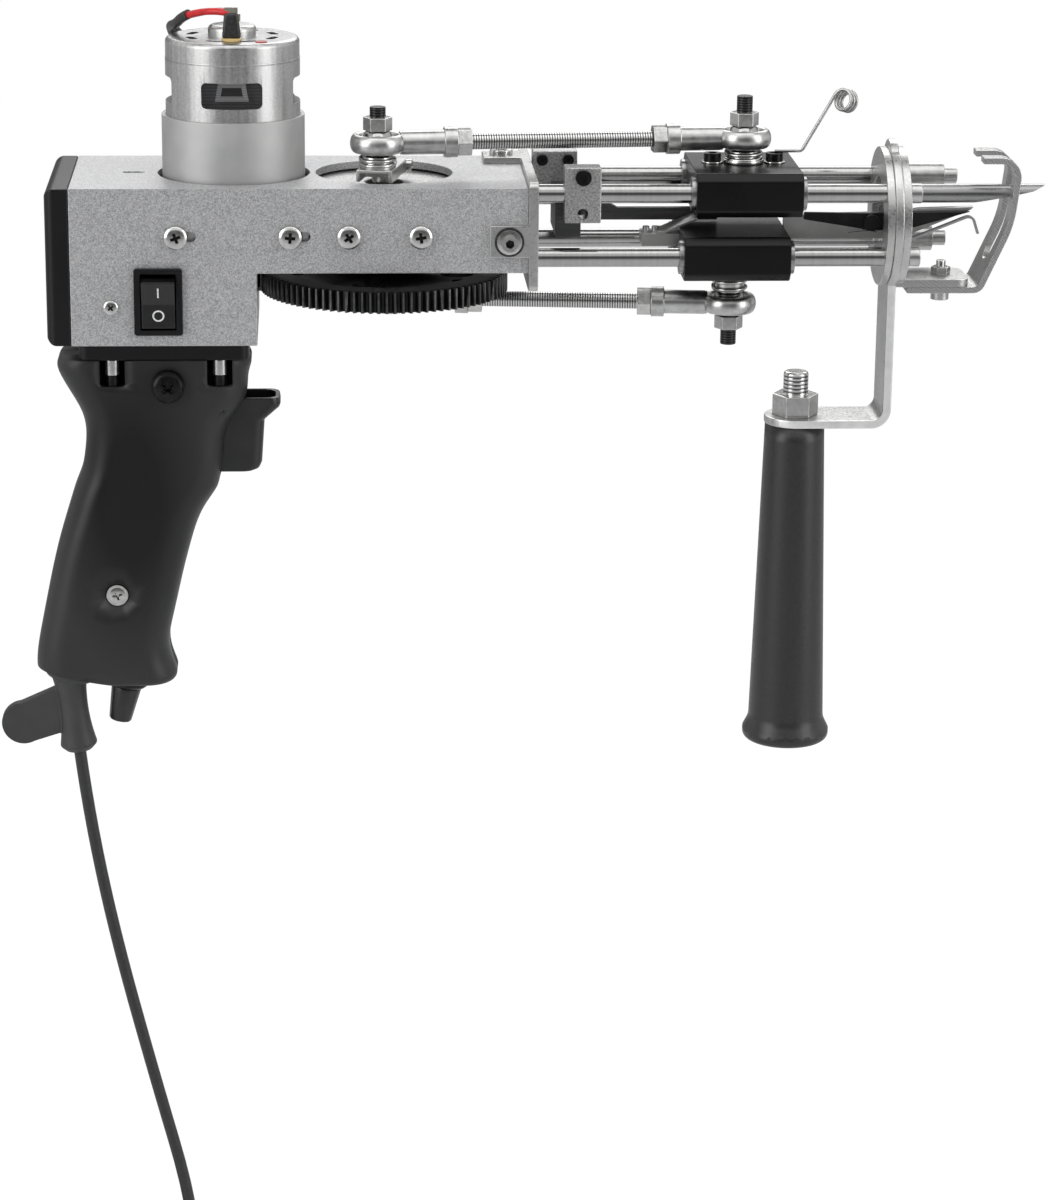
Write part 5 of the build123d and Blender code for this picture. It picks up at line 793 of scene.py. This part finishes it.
# A round cover plate of the same aluminium lies on the bearing block, under the crank hole, and
# keeps lint out of the bearings. It is lathe turned and left bare.
cover_radius, cover_tall, shaft_clearance = 22.8, 2.9, 6.0
block_low, block_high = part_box("bearing_block")
cover_middle = Vector(((block_low.x + block_high.x) / 2, 0, block_high.z + cover_tall / 2 * MM))
cover = shaped(bpy.ops.mesh.primitive_cylinder_add, vertices=96, radius=cover_radius * MM,
               depth=cover_tall * MM, location=cover_middle)
cut_away(cover, shaped(bpy.ops.mesh.primitive_cylinder_add, vertices=48,
                       radius=shaft_clearance * MM, depth=2 * cover_tall * MM,
                       location=cover_middle))
work(cover, "BEVEL", width=0.3 * MM, limit_method="ANGLE")
smooth(35)
joined("bearing_cover_plate", [coat(cover, tumbled_aluminium)], "frame")

# Guide rods, shafts, the shaft's bearings and the pinion: hardened steel, ground and polished, so
# that the studio shows in them as long bright and dark bands.
ground_steel = speckled("ground_steel", 0.14, 1.0, (900.0, 2.0), ("A8A8A7", "B0B0AF"),
                        stretch=(1.0, 0.03, 0.03), dull=(0.12, 0.16))
for name in ("guide_rods", "gear_shaft", "motor_shaft", "shaft_bearings", "pinion"):
    dress(name, 0.12, ground_steel)

# Satin steel of the needle and the linear bearings: lapped after grinding, a darker, softer shine.
lapped_steel = speckled("lapped_steel", 0.26, 1.0, (1500.0, 3.0), ("8A8A8B", "A6A6A6"),
                        stretch=(0.04, 1.0, 1.0), dull=(0.2, 0.36), relief=(0.12, 0.08))
for name in ("needle_bearings", "looper_bearings"):
    dress(name, 0.12, lapped_steel)
dress("needle", 0, lapped_steel)

# Leaf springs of the blade, 0.6 mm rolled spring steel with two rivets each, and the looper bar.
# Both are bright from the rolls.
spring_steel = speckled("rolled_spring_steel", 0.34, 1.0, (160.0, 2.0), ("B0B0AF", "C2C2C1"))
dress("blade_springs", 0.12, spring_steel)
dress("looper", 0.2, spring_steel)

# Cutter blade, cam bar and drive gear, of hardened tool steel. Blade and gear are blackened in
# hot oil, and the cam bar is ground along its length, which leaves a bare dark grey.
blued_steel = speckled("oil_blackened_steel", 0.36, 0.7, (160.0, 4.0), ("1C1C1D", "2A2A2B"),
                       dull=(0.28, 0.46))
dress("cutter_blade", 0.15, blued_steel)
ground_tool_steel = speckled("ground_tool_steel", 0.4, 0.9, (900.0, 3.0), ("454546", "5A5A5B"),
                             stretch=(0.05, 1.0, 1.0))
dress("knife_cam_bar", 0.3, ground_tool_steel)

# The gear's teeth are hobbed. Their tips are a painted highlight, a lighter grey where they
# catch the light.
gear_low, gear_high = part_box("drive_gear")
gear_middle = (gear_low + gear_high) / 2 / MM
gear_reach, highlight_depth = (gear_high.x - gear_low.x) / 2 / MM, 0.35
# Painted highlight on the outer 0.35 mm of the teeth.
tooth_tips = speckled("tooth_tips_painted_highlight", 0.34, 0.85, (500.0, 3.0), ("484849", "646465"))
coat(dress("drive_gear", 0, blued_steel), tooth_tips, lambda middle, normal: (
    abs(normal.z) < 0.2 and
    hypot(middle.x - gear_middle.x, middle.y - gear_middle.y) > gear_reach - highlight_depth))

# Needle and looper blocks, sawn from aluminium bar, blasted and anodised black: a deep black
# with a soft shine and a fine grain. Their edges are broken.
black_anodise = speckled("black_anodised_aluminium", 0.3, 0.2, (50.0, 3.0), ("070708", "0D0D0E"),
                         dull=(0.22, 0.36), relief=(0.08, 0.06), grain=(1200.0, 2.0), specular=0.3)
for name in ("needle_block", "looper_block"):
    dress(name, 0.5, black_anodise)

# The clamp screws on the needle block are black, with a bright washer under each.
clamp_washer = 0.65
washer_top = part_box("needle_block")[1].z / MM + clamp_washer
coat(dress("needle_clamp_screws", 0.15, black_oxide), bright_zinc,
     lambda middle, normal: middle.z < washer_top)

# Yarn eyelet, 1.1 mm spring wire, held under the front clamp screw and wound into three turns
# that stand askew to the wire. It is as bright as the leaf springs.
eyelet_radius, eyelet_turns, eyelet_rise, eyelet_wire = 3.3, 3.25, 1.5, 0.55
crown_back, crown_down, knee_out, knee_soft = 1.6, 4.6, 8.6, 2.0
eye_low, eye_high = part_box("yarn_eyelet")
eyelet_level = eye_low.z / MM + eyelet_wire
eyelet_crown = Vector((eye_high.x / MM - eyelet_radius - crown_back, 0.0,
                       eye_high.z / MM - crown_down))
tilt = Matrix.Rotation(radians(-46), 3, "Z") @ Matrix.Rotation(radians(-16), 3, "X")
knee = Vector((eye_low.x / MM + eyelet_wire + knee_out, 0.0, eyelet_level))
climb = (eyelet_crown + Vector((-eyelet_radius, 0, 0)) - knee).normalized()
wire_points = [Vector((eye_low.x / MM + eyelet_wire, 0.0, eyelet_level)),
               knee - Vector((knee_soft, 0, 0)), knee, knee + climb * knee_soft]
for step in range(int(eyelet_turns * 12) + 1):
    angle = pi + step * pi / 6
    wire_points.append(eyelet_crown + tilt @ Vector((
        eyelet_radius * cos(angle), step * eyelet_rise / 12, -eyelet_radius * sin(angle))))
joined("yarn_eyelet_wire", [coat(bent_wire(wire_points, 2 * eyelet_wire), spring_steel)],
       node="yarn_eyelet")

# Rod ends, links and pivot studs. The eyes and their shanks are forged and zinc plated, the
# balls polished, the rods rolled M5 thread, and the studs black with a bright nut.
# Rolled thread, 0.8 mm apart, cut along the rod as relief, with painted highlight on the crests
# and painted shade in the roots.
thread_pitch = 0.8
eye_middle, eye_half_wall, eye_height, eye_reach = 7.0, 1.65, 5.8, 8.8
ball_reach, ball_flat, neck_radius, neck_length = 5.3, 3.95, 3.7, 4.0
nut_reach, nut_run, pivot_reach, stud_reach = 2.7, 25.0, 2.9, 4.3
forged_zinc = speckled("forged_zinc_plate", 0.3, 1.0, (380.0, 4.0), ("B0B0AF", "C8C8C7"),
                       dull=(0.22, 0.4), relief=(0.12, 0.2))


def thread_metal(name, low, high, roughness, metallic, turn, axis, pitch=thread_pitch):
    """A metal with a thread on it, its grooves across an axis of the piece. Its roots are painted
    dark and its crests light, as painted shade and highlight.
    """
    material, tree, shader, place = new_surface(name, roughness, metallic)
    lined = add_node(tree, "ShaderNodeMapping", {"Vector": place, "Rotation": turn})
    groove = add_node(tree, "ShaderNodeTexWave", {
        "Vector": lined.outputs[0], "Scale": wave_band / (pitch * MM)}, bands_direction=axis)
    lay_on(tree, shader, groove.outputs["Fac"], (low, high), reach=(0.2, 0.6), relief=(0.2, 0.2))
    return material


black_thread = thread_metal("black_oxide_thread", "0B0B0B", "3A3A3A", 0.35, 0.7, (0, 0, 0), "Z")
zinc_thread = thread_metal("zinc_plated_thread", "6A6A6A", "DADAD9", 0.25, 1.0, (0, 0, 0), "Z",
                           1.25)
for side, ends, seat in (("upper", "upper_link_pivot", "needle_block"),
                         ("lower", "lower_link_pivot", "looper_block")):
    start = Vector(joint_of[ends]["pos_m"])
    block_low, block_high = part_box(seat)
    finish = Vector(((block_low.x + block_high.x) / 2, 0, start.z))
    slant = atan2(finish.y - start.y, finish.x - start.x)
    link_thread = thread_metal(side + "_link_thread", "565656", "D2D2D1", 0.25, 1.0,
                               (0, 0, -slant), "X")
    way = (finish - start).normalized()
    span = (finish - start).length / MM

    def on_nut(middle, normal, start=start, way=way, span=span):
        """Whether a face belongs to a jam nut, which is hard against its rod end."""
        run = (middle * MM - start).dot(way) / MM
        out = ((middle * MM - start) - way * run * MM).length / MM
        return out > nut_reach or run < nut_run or run > span - nut_run

    coat(dress(side + "_link_rod", 0.25, link_thread), bright_zinc, on_nut)
    shanks = dress(side + "_rod_ends", 0.2, forged_zinc, 25)
    bpy.ops.object.mode_set(mode="EDIT")
    bpy.ops.mesh.select_all(action="DESELECT")
    bpy.ops.mesh.select_mode(type="FACE")
    bpy.ops.object.mode_set(mode="OBJECT")
    for face in shanks.data.polygons:
        face.select = min(hypot(face.center.x - spot.x, face.center.y - spot.y)
                          for spot in (start, finish)) < eye_reach * MM
    bpy.ops.object.mode_set(mode="EDIT")
    bpy.ops.mesh.delete(type="FACE")
    bpy.ops.object.mode_set(mode="OBJECT")
    pieces = [shanks]
    for spot, along in ((start, way), (finish, -way)):
        neck = shaped(bpy.ops.mesh.primitive_cylinder_add, vertices=48,
                      radius=neck_radius * MM, depth=neck_length * MM,
                      location=spot + along * (eye_middle + neck_length / 2) * MM,
                      rotation=along.to_track_quat("Z", "Y").to_euler())
        smooth(40)
        pieces.append(coat(neck, forged_zinc))
        ring = shaped(bpy.ops.mesh.primitive_torus_add, major_segments=72,
                      minor_segments=24, major_radius=eye_middle * MM,
                      minor_radius=eye_half_wall * MM)
        for point in ring.data.vertices:
            point.co.z *= eye_height / 2 / eye_half_wall
            point.co += spot
        smooth(60)
        pieces.append(coat(ring, forged_zinc))
        ball = shaped(bpy.ops.mesh.primitive_uv_sphere_add, segments=48,
                      ring_count=32, radius=ball_reach * MM)
        for point in ball.data.vertices:
            point.co.z = max(-ball_flat * MM, min(ball_flat * MM, point.co.z))
            point.co += spot
        smooth(30)
        pieces.append(coat(ball, ground_steel))
    joined(side + "_rod_ends_finished", pieces, node=side + "_rod_ends")


def stud_finish(name, middle_x, middle_y, nut_low, nut_high):
    """A pivot's washers and nut are bright, and the stud's threaded end is black."""
    return coat(dress(name, 0.25, bright_zinc), black_thread, lambda middle, normal: (
        hypot(middle.x - middle_x, middle.y - middle_y) < pivot_reach
        and not nut_low < middle.z < nut_high))


nut_top, far_below, far_above = 8.3, 60.0, 120.0
crank_pin = Vector(joint_of["upper_link_pivot"]["pos_m"]) / MM
lower_pin = Vector(joint_of["lower_link_pivot"]["pos_m"]) / MM
needle_seat, looper_seat = [sum(corner.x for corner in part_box(block)) / 2 / MM
                            for block in ("needle_block", "looper_block")]
stud_finish("crank_pins", crank_pin.x, crank_pin.y, far_below, crank_pin.z + nut_top)
stud_finish("upper_pivot_stud", needle_seat, 0, far_below, crank_pin.z + nut_top)
stud_finish("lower_pivot_stud", looper_seat, 0, lower_pin.z - nut_top, far_above)

# Front end's fasteners: turned spacers with dark chamfers and cap screws on the rod ends, the
# foot's bolt with its washer and nut, and the handle's M8 stud with a nut.
dress("rod_end_screws", 0.3, forged_zinc)
dress("foot_bolt", 0.2, bright_zinc)
stud = dress("handle_stud", 0.3, bright_zinc)
stud_middle = sum(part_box("handle_stud"), Vector()) / 2 / MM
coat(stud, zinc_thread, lambda middle, normal: hypot(
    middle.x - stud_middle.x, middle.y - stud_middle.y) < stud_reach and abs(normal.z) < 0.5)

# The grip's screws: a wide black one at the top, a small bright one in a seat lower down, and
# two spacer pins, of which the upper ends are bright and the lower ones black.
wide_x, wide_y, wide_z, wide_reach = 12.0, -14.5, 44.4, 6.0
small_x, small_y, small_z, seat_y, pin_low, pin_shade = -5.4, -12.5, -24.4, -12.2, 30.0, 49.5
grip_fasteners = dress("grip_screws", 0.2, bright_zinc)
coat(grip_fasteners, black_oxide, lambda middle, normal: (
    hypot(middle.x - wide_x, middle.z - wide_z) < wide_reach or pin_low < middle.z < pin_shade))
joined("grip_screw_heads", [
    set_in_place(pan_model, (wide_x, wide_y, wide_z), (0, -1, 0), 45, 1.4, black_oxide),
    set_in_place(pan_model, (small_x, small_y, small_z), (0, -1, 0), 20, 0.95),
    set_in_place(washer_model, (small_x, seat_y, small_z), (0, -1, 0), 0, 0.92, gloss_nylon),
], "frame")

# Split spring washers under each pivot's ball, wound from spring wire and zinc plated. They
# lean a little, because the split ends stand apart.
washer_wire, washer_lean = 0.62, 0.3
for name, spot, reach, spread, body in (
        ("crank_spring_washers", (crank_pin.x, crank_pin.y), 5.3, (114.4, 115.9), "gear"),
        ("needle_spring_washers", (needle_seat, 0), 5.5, (114.5, 116.1), "upper_link"),
        ("looper_spring_washers", (looper_seat, 0), 5.2, (77.6, 75.3, 73.0), "lower_link")):
    rings = []
    for height in spread:
        ring = shaped(bpy.ops.mesh.primitive_torus_add, major_segments=60, minor_segments=12,
                      major_radius=reach * MM, minor_radius=washer_wire * MM,
                      location=(spot[0] * MM, spot[1] * MM, height * MM))
        for point in ring.data.vertices:
            angle = atan2(point.co.y - spot[1] * MM, point.co.x - spot[0] * MM)
            point.co.z += washer_lean * sin(angle / 2) * MM
        smooth(50)
        rings.append(coat(ring, bright_zinc))
    if body == "upper_link":
        rings.append(set_in_place(washer_model, (spot[0], spot[1], 112.95), (0, 0, 1), 0, 1.28))
    joined(name, rings, body)

for model in (pan_model, cap_model, washer_model):
    bpy.data.objects.remove(model)
